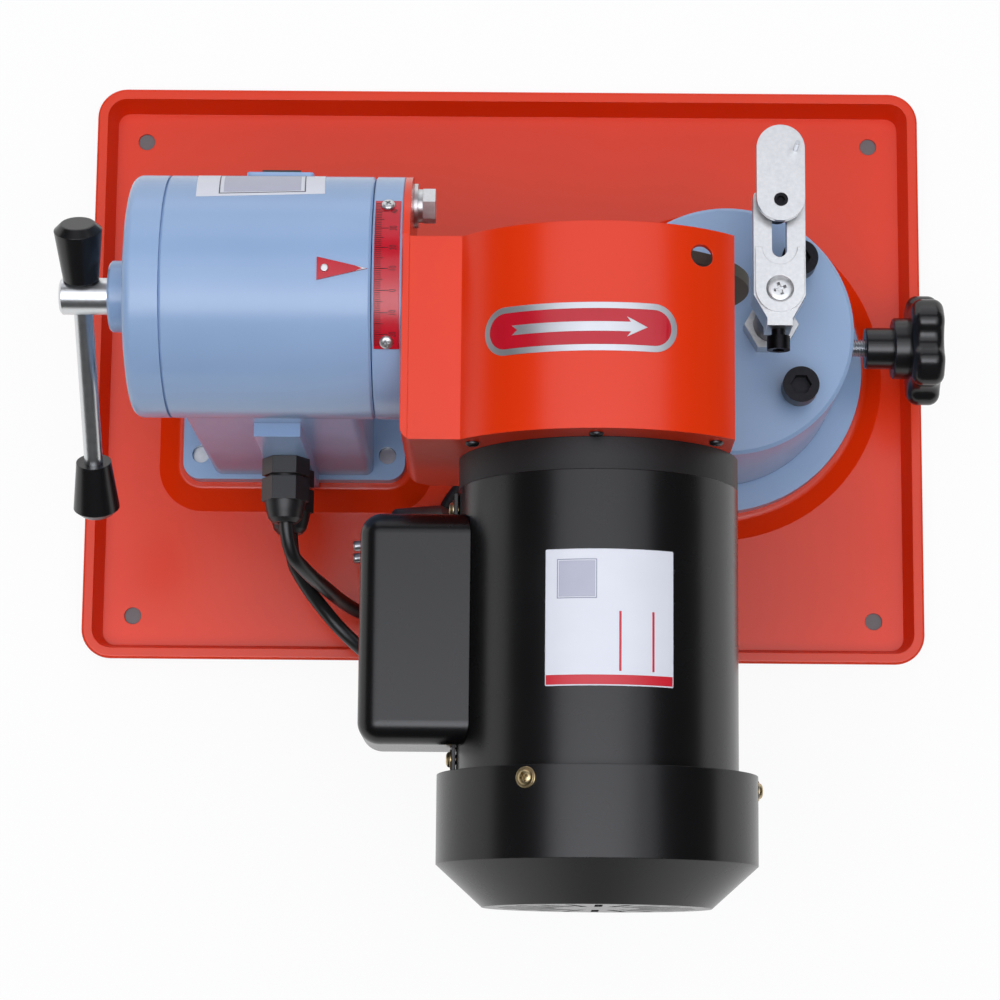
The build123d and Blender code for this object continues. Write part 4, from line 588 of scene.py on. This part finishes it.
def complete(piece, finish, body, crease=30):
    """Shades a piece, gives it its finish and lets it ride on a body."""
    only(piece)
    bpy.ops.object.shade_smooth_by_angle(angle=math.radians(crease))
    piece.data.materials.clear()
    piece.data.materials.append(finish)
    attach(piece, body)


print("modelling helpers ready")

# %% [markdown]
# ## Labels that follow a round surface
#
# The guard, the motor and the barrel are round, and their labels are thin sheets stuck on them. It is
# easiest to draw a label flat, as a printer does, cut it into strips so that it can curve, raise it
# to its thickness, and then wrap it: the distance across the label becomes an arc on the cylinder.
# One function wraps round an axis along Y, for the guard and the motor, the other round one along X.
# A small square whose corners are pulled to other places is the start of odd shapes.

# %% Helpers for labels
ALONG_X = Vector((1, 0, 0))
ALONG_Y = Vector((0, 1, 0))
HEAD_X = 40.0
AXIS_Y = -6.0
AXIS_Z = 186.5
FOIL = 0.14
PRINT = 0.05
LABEL_STRIP = 2.0
CORNER_STEPS = 10


def narrowed(span, margin):
    """A span that is smaller by a margin at both ends."""
    return (span[0] + margin, span[1] - margin)


def flat_sheet(name, x_range, y_range, corner=0.0):
    """A flat rectangle in millimetres, its corners rounded if asked. Stays in edit mode."""
    bpy.ops.object.select_all(action="DESELECT")
    bpy.ops.mesh.primitive_plane_add(size=MM, location=(0, 0, 0))
    piece = begin(name)
    size = (x_range[1] - x_range[0], y_range[1] - y_range[0], 1)
    bpy.ops.transform.resize(value=size, center_override=(0, 0, 0))
    shift((x_range[0] + x_range[1]) / 2, (y_range[0] + y_range[1]) / 2, 0)
    if corner:
        bpy.ops.mesh.bevel(offset=corner * MM, segments=CORNER_STEPS, affect="VERTICES")
    return piece


def pulled_square(name, places):
    """A square whose four corners, at 1 and -1, are pulled to places. Stays in edit mode."""
    piece = flat_sheet(name, (-1, 1), (-1, 1))
    for (x, y), (to_x, to_y, to_z) in places.items():
        pick(piece, "VERT", lambda v: (v.co - Vector((x, y, 0)) * MM).length < NEAR)
        shift(to_x - x, to_y - y, to_z)
    return piece


def hollow_out(line_width):
    """Takes out the middle of the sheet being edited and leaves a frame."""
    bpy.ops.mesh.select_mode(type="FACE")
    bpy.ops.mesh.select_all(action="SELECT")
    bpy.ops.mesh.inset(thickness=line_width * MM, depth=0)
    bpy.ops.mesh.delete(type="FACE")


def cut_strips(axis, span, step):
    """Cuts the piece being edited across an axis about every step millimetres."""
    count = max(1, round((span[1] - span[0]) / step))
    for n in range(1, count):
        at = span[0] + (span[1] - span[0]) * n / count
        bpy.ops.mesh.select_all(action="SELECT")
        bpy.ops.mesh.bisect(plane_co=axis * at * MM, plane_no=axis)


def wrap_round_y(piece, radius, x, z):
    """Wraps a flat piece round an axis along Y. Its X is the arc, from the top towards +X."""
    only(piece)
    for point in piece.data.vertices:
        angle = point.co.x / (radius * MM)
        reach = radius * MM + point.co.z
        point.co.x = x * MM + reach * math.sin(angle)
        point.co.z = z * MM + reach * math.cos(angle)


def wrap_round_x(piece, radius, y, z):
    """Wraps a flat piece round an axis along X. Its Y is the arc, from the top towards +Y."""
    only(piece)
    for point in piece.data.vertices:
        angle = point.co.y / (radius * MM)
        reach = radius * MM + point.co.z
        point.co.y = y * MM + reach * math.sin(angle)
        point.co.z = z * MM + reach * math.cos(angle)


print("label helpers ready")

# %% [markdown]
# ## Arrow on the guard
#
# A stadium of silver foil carries a crimson field and a plain silver arrow for the wheel's sense of
# turning. Rounding a rectangle's corners by half its width gives the stadium. The field is the same
# shape, one border smaller. The arrow starts as a rectangle too: its tail's middle point is pushed in
# for the notch, and its front edge is extruded into the barbed head.

# %% Arrow label
GUARD_RADIUS = 74.0
ARROW_SPAN = (-50.4, 29.9)
ARROW_SIDES = (-44.1, -24.6)
ARROW_BORDER = 2.5
ARROW_STRIP = 2.5
ROUND_END = 0.995
ARROW_TAIL = -37.5
ARROW_TIP = 17.5
ARROW_MIDDLE = sum(ARROW_SIDES) / 2
TAIL_NOTCH = 2.4
SHAFT_HALF = 1.95
BARB_HALF = 4.05
HEAD_LENGTH = 6.7
BARB_SWEEP = 8.3


def stadium(name, margin, height, lift):
    """A sheet with round ends on the guard, smaller than the label by a margin."""
    span = narrowed(ARROW_SPAN, margin)
    sides = narrowed(ARROW_SIDES, margin)
    piece = flat_sheet(name, span, sides, (sides[1] - sides[0]) / 2 * ROUND_END)
    cut_strips(ALONG_X, span, ARROW_STRIP)
    thicken(height, lift)
    wrap_round_y(piece, GUARD_RADIUS, HEAD_X, AXIS_Z)
    return piece


arrow_foil = stadium("arrow_label", 0.0, FOIL, 0.0)
arrow_field = stadium("arrow_field", ARROW_BORDER, PRINT, FOIL)

neck = ARROW_TIP - HEAD_LENGTH
shaft_sides = (ARROW_MIDDLE - SHAFT_HALF, ARROW_MIDDLE + SHAFT_HALF)
arrow = flat_sheet("arrow_sign", (ARROW_TAIL, neck), shaft_sides)
bpy.ops.mesh.subdivide(number_cuts=1)
tail, front, tip, middle = (c * MM for c in (ARROW_TAIL, neck, ARROW_TIP, ARROW_MIDDLE))
pick(arrow, "VERT", lambda v: v.co.x < tail + NEAR and abs(v.co.y - middle) < NEAR)
shift(TAIL_NOTCH, 0, 0)
pick(arrow, "EDGE", lambda e: all(abs(v.co.x - front) < NEAR for v in e.verts))
bpy.ops.mesh.extrude_region_move(TRANSFORM_OT_translate={"value": (HEAD_LENGTH * MM, 0, 0)})
for side in (-1, 1):
    pick(arrow, "VERT", lambda v: v.co.x > tip - NEAR and (v.co.y - middle) * side > NEAR)
    shift(-BARB_SWEEP, side * (BARB_HALF - SHAFT_HALF), 0)
cut_strips(ALONG_X, (ARROW_TAIL, ARROW_TIP), ARROW_STRIP)
thicken(PRINT, FOIL + PRINT)
wrap_round_y(arrow, GUARD_RADIUS, HEAD_X, AXIS_Z)
complete(arrow_foil, silver_foil, "head")
complete(arrow_field, crimson_print, "head")
complete(arrow, silver_foil, "head")
print("arrow label", round(ARROW_SPAN[1] - ARROW_SPAN[0], 1), "mm long")

# %% [markdown]
# ## Plate on the motor
#
# A white foil lies over the top of the shell, with a red band along its lower edge, a plain grey
# square in a thin frame where a maker would print a sign, and two thin red rules. It has no words.
# Frames are sheets whose middle is taken out with inset and delete.

# %% Motor plate
MOTOR_RADIUS = 57.5
PLATE_X = (18.1, 68.4)
PLATE_SIDES = (-174.0, -120.0)
PLATE_CORNER = 0.6
BAND_SIDES = (-173.5, -169.7)
BAND_MARGIN = 0.4
SQUARE_X = (22.6, 38.2)
SQUARE_SIDES = (-139.6, -124.0)
SQUARE_MARGIN = 0.7
SQUARE_LINE = 0.3
RULE_PLACES = {"plate_rule_left": 47.4, "plate_rule_right": 60.4}
RULE_SIDES = (-168.2, -144.6)
RULE_HALF = 0.45


def label_print(name, x_range, y_range, ink, hollow=0.0):
    """One printed area of the motor's plate, hollow where it is only a frame."""
    piece = flat_sheet(name, x_range, y_range)
    if hollow:
        hollow_out(hollow)
    cut_strips(ALONG_X, x_range, LABEL_STRIP)
    thicken(PRINT, FOIL)
    wrap_round_y(piece, MOTOR_RADIUS, HEAD_X, AXIS_Z)
    complete(piece, ink, "head")


def arc_mm(x):
    """Arc length on the motor's shell over a place X, from the top."""
    return MOTOR_RADIUS * math.asin((x - HEAD_X) / MOTOR_RADIUS)


plate_span = (arc_mm(PLATE_X[0]), arc_mm(PLATE_X[1]))
square_span = (arc_mm(SQUARE_X[0]), arc_mm(SQUARE_X[1]))
plate = flat_sheet("motor_plate", plate_span, PLATE_SIDES, PLATE_CORNER)
cut_strips(ALONG_X, plate_span, LABEL_STRIP)
thicken(FOIL)
wrap_round_y(plate, MOTOR_RADIUS, HEAD_X, AXIS_Z)
complete(plate, white_foil, "head")
label_print("plate_band", narrowed(plate_span, BAND_MARGIN), BAND_SIDES, red_ink)
label_print(
    "plate_square",
    narrowed(square_span, SQUARE_MARGIN),
    narrowed(SQUARE_SIDES, SQUARE_MARGIN),
    grey_ink,
)
label_print("plate_frame", square_span, SQUARE_SIDES, grey_line, SQUARE_LINE)
for name, x in RULE_PLACES.items():
    label_print(name, (arc_mm(x) - RULE_HALF, arc_mm(x) + RULE_HALF), RULE_SIDES, red_ink)
print("motor plate", round(plate_span[1] - plate_span[0], 1), "mm across")

# %% [markdown]
# ## Label on the barrel
#
# The barrel's label sits far round the back, so from above only its lower part shows. It was stuck on
# a little askew. Its plain panel and thin frame are drawn like those of the motor's plate, turned by
# three degrees while still flat, and wrapped round the barrel's own axis.

# %% Barrel label
BARREL_RADIUS = 50.5
BARREL_LABEL_X = (-126.0, -73.5)
BARREL_LABEL_ANGLES = (42.0, 73.0)
BARREL_LABEL_TURN = 3.0
BARREL_PANEL_X = (-114.8, -83.3)
BARREL_PANEL_ANGLES = (45.5, 70.0)
BARREL_FRAME_X = (-116.8, -81.3)
BARREL_FRAME_ANGLES = (44.0, 71.2)
BARREL_FRAME_LINE = 0.5


def barrel_arc(angle):
    """Arc length on the barrel at an angle from its top."""
    return BARREL_RADIUS * math.radians(angle)


def barrel_print(name, x_range, angles, height, thickness, finish, hollow=0.0):
    """One layer of the barrel's label."""
    y_range = (barrel_arc(angles[0]), barrel_arc(angles[1]))
    piece = flat_sheet(name, x_range, y_range)
    if hollow:
        hollow_out(hollow)
    cut_strips(ALONG_Y, y_range, LABEL_STRIP)
    thicken(thickness, height)
    only(piece)
    middle_x = sum(BARREL_LABEL_X) / 2 * MM
    middle_y = barrel_arc(sum(BARREL_LABEL_ANGLES) / 2) * MM
    slant = math.tan(math.radians(BARREL_LABEL_TURN))
    for point in piece.data.vertices:
        x = point.co.x - middle_x
        y = point.co.y - middle_y
        point.co.x = middle_x + x - y * slant
        point.co.y = middle_y + y + x * slant
    wrap_round_x(piece, BARREL_RADIUS, AXIS_Y, AXIS_Z)
    complete(piece, finish, "base")


barrel_print("barrel_label", BARREL_LABEL_X, BARREL_LABEL_ANGLES, 0, FOIL, white_foil)
barrel_print("barrel_panel", BARREL_PANEL_X, BARREL_PANEL_ANGLES, FOIL, PRINT, grey_ink)
barrel_print(
    "barrel_frame",
    BARREL_FRAME_X,
    BARREL_FRAME_ANGLES,
    FOIL,
    PRINT,
    dark_line,
    BARREL_FRAME_LINE,
)
print("barrel label", round(BARREL_LABEL_X[1] - BARREL_LABEL_X[0], 1), "mm long")

# %% [markdown]
# ## Marks of the tilt scale
#
# The scale's plate has a line for each degree, longer ones for each five and ten, and plain numbers.
# A line is one thin strip. The Array modifier repeats it along the arc while the scale is still flat,
# and the numbers are text, made a mesh, narrowed, and turned so that they read along the arc.

# %% Scale marks
SCALE_RADIUS = 51.2
SCALE_EDGE = -51.6
SCALE_LINE = 0.3
INK = 0.05
DEGREE = SCALE_RADIUS * math.radians(1)
NUMBER_X = -44.0
NUMBER_SIZE = 4.1
NUMBER_WIDTH = 0.58
SCALE_NUMBERS = {30: "40", 20: "30", 10: "20", 0: "10", -10: "0", -20: "10", -30: "20"}


def scale_lines(name, first, step, count, length):
    """A row of lines on the flat scale, one every step degrees."""
    y = first * DEGREE
    strip = (y - SCALE_LINE / 2, y + SCALE_LINE / 2)
    row = flat_sheet(name, (SCALE_EDGE, SCALE_EDGE + length), strip)
    thicken(INK)
    only(row)
    repeat = row.modifiers.new("degrees", "ARRAY")
    repeat.count = count
    repeat.use_relative_offset = False
    repeat.use_constant_offset = True
    repeat.constant_offset_displace = (0, step * DEGREE * MM, 0)
    bpy.ops.object.modifier_apply(modifier=repeat.name)
    return row


def scale_number(angle, figure):
    """A plain number on the flat scale, turned to read along the arc."""
    bpy.ops.object.select_all(action="DESELECT")
    bpy.ops.object.text_add(location=(0, 0, 0))
    number = bpy.context.active_object
    number.data.body = figure
    number.data.size = NUMBER_SIZE * MM
    number.data.align_x = "CENTER"
    number.data.align_y = "CENTER"
    number.data.extrude = INK / 2 * MM
    bpy.ops.object.convert(target="MESH")
    number = bpy.context.active_object
    number.scale = (NUMBER_WIDTH, 1, 1)
    number.rotation_euler = (0, 0, math.pi / 2)
    number.location = Vector((NUMBER_X, angle * DEGREE, INK / 2)) * MM
    settle()
    return number


marks = [
    scale_lines("scale_marks", first=-35, step=1, count=71, length=2.7),
    scale_lines("fives", first=-35, step=5, count=15, length=3.6),
    scale_lines("tens", first=-30, step=10, count=7, length=5.6),
]
for angle, figure in SCALE_NUMBERS.items():
    marks.append(scale_number(angle, figure))
scale_marks = join(marks)
wrap_round_x(scale_marks, SCALE_RADIUS, AXIS_Y, AXIS_Z)
complete(scale_marks, dark_ink, "head")
print("scale marks:", len(scale_marks.data.polygons), "faces")

# %% [markdown]
# ## Worn tip of the pointer
#
# At the pointer's tip the print has rubbed off both edges and the white primer shows. It is a thin
# chevron: a square whose four points are pulled to the tip, the two edges and the notch between them.

# %% Pointer tip
POINTER_RADIUS = 51.3
POINTER_TIP = -54.45
POINTER_HALF = 4.75
POINTER_LENGTH = 20.3
WORN_LENGTH = 4.6
WORN_NOTCH = 1.9

worn_back = POINTER_TIP - WORN_LENGTH
worn_half = WORN_LENGTH * POINTER_HALF / POINTER_LENGTH
worn = pulled_square(
    "pointer_worn_tip",
    {
        (1, 1): (POINTER_TIP, 0, 0),
        (-1, 1): (worn_back, worn_half, 0),
        (-1, -1): (POINTER_TIP - WORN_NOTCH, 0, 0),
        (1, -1): (worn_back, -worn_half, 0),
    },
)
thicken(INK)
wrap_round_x(worn, POINTER_RADIUS, AXIS_Y, AXIS_Z)
complete(worn, white_foil, "base")
print("pointer tip worn for", WORN_LENGTH, "mm")

# %% [markdown]
# ## Screws with a cross recess
#
# Three kinds of small screws show a cross recess: the motor's yellow pan heads with a pressed washer,
# the little pan heads on the scale and the guard, and the countersunk head on the tooth rest. Each is
# turned from its outline with Spin, the recess is cut by two tapered bars with a Boolean, and copies
# go to the places of the CAD screws, which they replace. Each copy is turned a little, as no two
# screws stop at the same angle. A recess is given by the height of the head's top, its depth, the
# length of its arms and their width.

# %% Screw helpers
LATHE_STEPS = 40
SCREW_CREASE = 35
FOOT_LENGTH = 0.45
FOOT_WIDTH = 0.8
TWIST_START = 20
TWIST_STEP = 37


def lathe(name, outline):
    """Turns an outline of radius and height round the Z axis, in millimetres. Stays in edit mode."""
    bpy.ops.object.select_all(action="DESELECT")
    bpy.ops.mesh.primitive_plane_add(size=MM, location=(0, 0, 0))
    piece = begin(name)
    bpy.ops.mesh.merge(type="CENTER")
    shift(outline[0][0], 0, outline[0][1])
    for (radius, height), (next_radius, next_height) in zip(outline, outline[1:]):
        move = Vector((next_radius - radius, 0, next_height - height)) * MM
        bpy.ops.mesh.extrude_vertices_move(TRANSFORM_OT_translate={"value": move})
    bpy.ops.mesh.select_all(action="SELECT")
    bpy.ops.mesh.spin(steps=LATHE_STEPS, angle=2 * math.pi, center=(0, 0, 0), axis=(0, 0, 1))
    weld()
    return piece


def cut_cross(piece, top, depth, reach, width):
    """Sinks a tapered cross recess into the top of a screw head."""
    for x_size, y_size in ((reach, width), (width, reach)):
        only(piece)
        bpy.ops.object.select_all(action="DESELECT")
        bpy.ops.mesh.primitive_cube_add(size=MM, location=(0, 0, 0))
        bar = begin("recess_bar")
        bpy.ops.transform.resize(value=(x_size, y_size, 2 * depth), center_override=(0, 0, 0))
        shift(0, 0, top)
        pick(bar, "FACE", lambda f: f.normal.z < -0.5)
        lengthwise = x_size > y_size
        foot = (FOOT_LENGTH, FOOT_WIDTH, 1) if lengthwise else (FOOT_WIDTH, FOOT_LENGTH, 1)
        bpy.ops.transform.resize(value=foot, center_override=(0, 0, 0))
        only(piece)
        cut = piece.modifiers.new("cross_recess", "BOOLEAN")
        cut.operation = "DIFFERENCE"
        cut.solver = "EXACT"
        cut.object = bar
        bpy.ops.object.modifier_apply(modifier=cut.name)
        bpy.data.objects.remove(bar)


def set_copies(name, master, seats):
    """Copies an upright piece to each seat, a place and an outward direction, and joins them."""
    copies = []
    for n, (place, out) in enumerate(seats):
        only(master)
        bpy.ops.object.duplicate()
        copy = bpy.context.active_object
        lie = Vector(out).to_track_quat("Z", "Y").to_matrix().to_4x4()
        twist = Matrix.Rotation(math.radians(TWIST_STEP * n + TWIST_START), 4, "Z")
        copy.matrix_world = Matrix.Translation(Vector(place) * MM) @ lie @ twist
        settle()
        copies.append(copy)
    joined = join(copies)
    joined.name = name
    bpy.data.objects.remove(master)
    return joined


def cross_screws(name, outline, recess, seats, finish, body, node):
    """Screws of one kind with a cross recess, in place of a CAD node."""
    master = lathe("screw_master", outline)
    cut_cross(master, *recess)
    screws = set_copies(name, master, seats)
    complete(screws, finish, body, SCREW_CREASE)
    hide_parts(node)
    print(name, len(seats))


print("screw helpers ready")

# %% Motor screws
ZINC_SEATS = [
    ((10.97, -210.0, 244.99), (-0.445, 0, 0.896)),
    ((105.17, -210.0, 182.4), (0.998, 0, -0.063)),
    ((3.86, -210.0, 132.11), (-0.553, 0, -0.833)),
    ((-19.2, -95.5, 186.5), (-1, 0, 0)),
    ((-19.2, -198.5, 186.5), (-1, 0, 0)),
]
ZINC_OUTLINE = [
    (0, -6.0),
    (1.6, -6.0),
    (2.0, -5.5),
    (2.0, 0),
    (4.0, 0),
    (4.2, 0.2),
    (4.2, 0.6),
    (4.0, 0.75),
    (3.3, 0.75),
    (3.2, 0.9),
    (3.1, 1.45),
    (2.7, 1.95),
    (2.0, 2.28),
    (1.0, 2.4),
    (0, 2.4),
]
ZINC_RECESS = (2.4, 1.5, 5.2, 1.1)

cross_screws(
    "motor_cross_screws",
    ZINC_OUTLINE,
    ZINC_RECESS,
    ZINC_SEATS,
    yellow_zinc,
    "head",
    "zinc_screws",
)

# %% Sheet screws
SCALE_SEATS = [
    ((-46.55, -34.26, 229.19), (0, -0.552, 0.834)),
    ((-46.55, 22.26, 229.19), (0, 0.552, 0.834)),
]
GUARD_SEATS = [
    ((-11.5, -75.0, 228.87), (0, -1, 0)),
    ((37.6, -75.0, 250.96), (0, -1, 0)),
    ((85.7, -75.0, 234.34), (0, -1, 0)),
]
SHEET_OUTLINE = [
    (0, -5.0),
    (0.6, -5.0),
    (1.5, -4.0),
    (1.5, 0),
    (2.65, 0),
    (2.8, 0.2),
    (2.8, 0.7),
    (2.55, 1.2),
    (2.0, 1.55),
    (1.1, 1.75),
    (0, 1.8),
]
SHEET_RECESS = (1.8, 1.1, 3.9, 0.8)
SHEET_SETS = {
    "scale_cross_screws": (SCALE_SEATS, white_zinc),
    # The guard's screws take the darker zinc: painted shade for their dim place under the guard's
    # edge.
    "guard_cross_screws": (GUARD_SEATS, shaded_zinc),
}

for name, (seats, finish) in SHEET_SETS.items():
    cross_screws(
        name,
        SHEET_OUTLINE,
        SHEET_RECESS,
        seats,
        finish,
        "head",
        "sheet_screws",
    )

# %% Countersunk screw of the tooth rest
STOP_SEAT = [((118.7, 7.9, 151.8), (0, 0, 1))]
STOP_OUTLINE = [
    (0, -3.5),
    (2.6, -3.5),
    (3.0, -3.1),
    (3.0, 0),
    (5.3, 1.1),
    (5.3, 1.2),
    (4.9, 1.46),
    (3.0, 1.5),
    (0, 1.5),
]
STOP_RECESS = (1.5, 1.6, 7.6, 1.4)

cross_screws(
    "stop_plate_cross_screw",
    STOP_OUTLINE,
    STOP_RECESS,
    STOP_SEAT,
    white_zinc,
    "arm",
    "stop_plate_screw",
)

# %% [markdown]
# ## Thread of the clamp knob's stud
#
# Between the drum and the knob a short piece of M8 stud shows, with its pitch of 1.25 mm. A small
# wedge, swept along a helix by the Screw modifier, makes the ridge of the thread, and a turned core
# runs through it. Both stay within the radius of the CAD stud, which they replace.

# %% Knob stud
STUD_START = (138.3, 2.0, 63.5)
STUD_LENGTH = 42.7
STUD_RADIUS = 4.0
STUD_CHAMFER = 0.8
STUD_CREASE = 40
PITCH = 1.25
THREAD_DEPTH = 0.72
THREAD_STEPS = 28
ROOT_SUNK = 0.1
ROOT_GAP = 0.02
CREST_HALF = 0.1

core = STUD_RADIUS - THREAD_DEPTH
stud = lathe(
    "knob_stud",
    [
        (0, 0),
        (core - STUD_CHAMFER, 0),
        (core, STUD_CHAMFER),
        (core, STUD_LENGTH),
        (0, STUD_LENGTH),
    ],
)
only(stud)
ridge = pulled_square(
    "knob_thread",
    {
        (-1, -1): (core - ROOT_SUNK, 0, ROOT_GAP),
        (1, -1): (STUD_RADIUS, 0, PITCH / 2 - CREST_HALF),
        (1, 1): (STUD_RADIUS, 0, PITCH / 2 + CREST_HALF),
        (-1, 1): (core - ROOT_SUNK, 0, PITCH - ROOT_GAP),
    },
)
only(ridge)
sweep = ridge.modifiers.new("helix", "SCREW")
sweep.axis = "Z"
sweep.angle = 2 * math.pi
sweep.screw_offset = PITCH * MM
sweep.iterations = int((STUD_LENGTH - 2 * PITCH) / PITCH)
sweep.steps = THREAD_STEPS
sweep.render_steps = THREAD_STEPS
sweep.use_merge_vertices = False
bpy.ops.object.modifier_apply(modifier=sweep.name)
bpy.ops.object.mode_set(mode="EDIT")
weld()
stud = join([stud, ridge])
lie = Matrix.Rotation(math.pi / 2, 4, "Y")
stud.matrix_world = Matrix.Translation(Vector(STUD_START) * MM) @ lie
only(stud)
settle()
complete(stud, machined_steel, "clamp", STUD_CREASE)
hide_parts("knob_screw")
print("knob stud:", len(stud.data.polygons), "faces")

# %% [markdown]
# ## Floor and light
#
# The photograph has a white ground, and one wide softbox above the machine gives most of the light:
# it is the pale band along the motor, the guard and the barrel, brighter towards its front and softer
# towards its sides, so three layers of cloth glow one over another. A dim panel behind the machine
# lights the backs. The floor is paper, the ground beyond it is white to just under the horizon, and a
# low white sweep stands behind and left of the machine. The rest of the room is dark, so the sides of
# the round black motor stay dark down to where they mirror the white ground. Where the camera or a
# glossy surface sees the paper, a part of its colour is glow, so that it is white, and the rest keeps
# the machine's shadow. A grey sheet, smaller than the tray, lies between the tray and the paper as
# painted shade: it stands for the shadowed ground under the tray, so the bench holes look grey as
# they do in the photograph.

# %% Floor
FLOOR_SIZE = 3.0
FLOOR_GLOW = 0.92
PAPER_ROUGHNESS = 0.9
SHADE_SHEET_MARGIN = 0.012
SHADE_SHEET_RISE = 0.0003


def combine(tree, operation, first, second):
    """A value worked out from two others by one operation."""
    return add(tree, "ShaderNodeMath", {0: first, 1: second}, operation=operation).outputs[0]


def background_sight(tree):
    """1 for the rays that show a background, from the camera, a mirror or glass, and 0 for others."""
    ways = add(tree, "ShaderNodeLightPath").outputs
    mirrored = combine(tree, "MAXIMUM", ways["Is Glossy Ray"], ways["Is Transmission Ray"])
    return combine(tree, "MAXIMUM", ways["Is Camera Ray"], mirrored)


bpy.ops.object.select_all(action="DESELECT")
bpy.ops.mesh.primitive_plane_add(size=FLOOR_SIZE, location=(0, 0, 0))
floor = bpy.context.active_object
floor.name = "studio_floor"
paper, tree, shader, place = start_finish("white_paper")
feed(tree, shader, {"Base Color": linear("#f8f8f8"), "Roughness": PAPER_ROUGHNESS})
share = combine(tree, "MULTIPLY", background_sight(tree), FLOOR_GLOW)
glow = add(tree, "ShaderNodeEmission", {"Color": (1, 1, 1, 1), "Strength": 1.0})
ground = add(
    tree,
    "ShaderNodeMixShader",
    {0: share, 1: shader.outputs[0], 2: glow.outputs[0]},
)
feed(tree, tree.nodes["Material Output"], {"Surface": ground.outputs[0]})
floor.data.materials.append(paper)

# Painted shade: a grey sheet under the tray, smaller than it, stands for the shadow that shows
# through the bench holes.
bpy.ops.object.select_all(action="DESELECT")
bpy.ops.mesh.primitive_plane_add(size=1, location=(0, 0, 0))
shade_sheet = begin("painted_shade_sheet")
tray_low, tray_high = (Vector(corner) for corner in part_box("tray"))
shade_sheet_size = tray_high - tray_low - Vector((1, 1, 0)) * 2 * SHADE_SHEET_MARGIN
shade_sheet_middle = (tray_low + tray_high) / 2
bpy.ops.transform.resize(value=(shade_sheet_size.x, shade_sheet_size.y, 1), center_override=(0, 0, 0))
bpy.ops.transform.translate(value=(shade_sheet_middle.x, shade_sheet_middle.y, SHADE_SHEET_RISE))
only(shade_sheet)
shade_sheet_grey = moulded("painted_shade_grey", "#6a6768", "#757273", 0.7, 1.0, 0.1)
shade_sheet.data.materials.append(shade_sheet_grey)
print("floor", FLOOR_SIZE, "m, mat", [round(c, 3) for c in shade_sheet_size[:2]])

# %% Light
LIGHT_COLOUR = "#f7f8ff"
ROOM_LIGHT = 0.06
GROUND_END = (-0.06, -0.02)
SWEEP_TOP = 0.14
SWEEP_FADE = 0.08
SWEEP_WAY = (-0.707, 0.707, 0.0)
SWEEP_SIDES = (0.25, 0.55)
SOFTBOX_LAYERS = {
    "softbox_cloth": ((0.2, -0.2, 3.2), (4.9, 3.2), 1.38),
    "softbox_inner_cloth": ((-0.2, -0.66, 3.15), (3.2, 1.8), 1.2),
    "softbox_bulb_glow": ((-0.2, -0.93, 3.1), (2.4, 1.2), 2.4),
}
PANEL_PLACE = (0.0, 1.7, 1.0)
PANEL_SIZE = (2.4, 1.6)
PANEL_GLOW = 1.0
PANEL_TURN = -75


def glowing_panel(name, place, size, glow):
    """An area lamp whose face is as bright as glow, where 1 is white paper in full light."""
    lamp = bpy.data.lights.new(name, "AREA")
    lamp.shape = "RECTANGLE"
    lamp.size, lamp.size_y = size
    lamp.energy = glow * math.pi * size[0] * size[1]
    lamp.color = linear(LIGHT_COLOUR)[:3]
    panel = bpy.data.objects.new(name, lamp)
    panel.location = place
    bpy.context.scene.collection.objects.link(panel)
    return panel


for name, (lamp_place, size, brightness) in SOFTBOX_LAYERS.items():
    glowing_panel(name, lamp_place, size, brightness)
back_panel = glowing_panel("back_panel", PANEL_PLACE, PANEL_SIZE, PANEL_GLOW)
back_panel.rotation_euler = (math.radians(PANEL_TURN), 0, 0)

room = bpy.data.worlds.new("dim_room")
room.use_nodes = True
sky = room.node_tree
sight = add(sky, "ShaderNodeTexCoord").outputs["Generated"]
rise = add(sky, "ShaderNodeSeparateXYZ", {"Vector": sight}).outputs["Z"]
aside = add(sky, "ShaderNodeVectorMath", {0: sight, 1: SWEEP_WAY}, operation="DOT_PRODUCT")
low_share = between(sky, rise, 1.0, 0.0, SWEEP_TOP, SWEEP_TOP + SWEEP_FADE)
side_share = between(sky, aside.outputs["Value"], 0.0, 1.0, *SWEEP_SIDES)
sweep_share = combine(sky, "MULTIPLY", low_share, side_share)
ground_share = between(sky, rise, 1.0, 0.0, *GROUND_END)
white_share = combine(sky, "MAXIMUM", sweep_share, ground_share)
white = combine(sky, "MULTIPLY", background_sight(sky), white_share)
strength = between(sky, white, ROOM_LIGHT, 1.0)
feed(sky, sky.nodes["Background"], {"Color": (1, 1, 1, 1), "Strength": strength})
bpy.context.scene.world = room
bpy.context.scene.view_settings.view_transform = "Standard"
print("lamps:", len(SOFTBOX_LAYERS) + 1)

# %% Finish
print("scene ready")
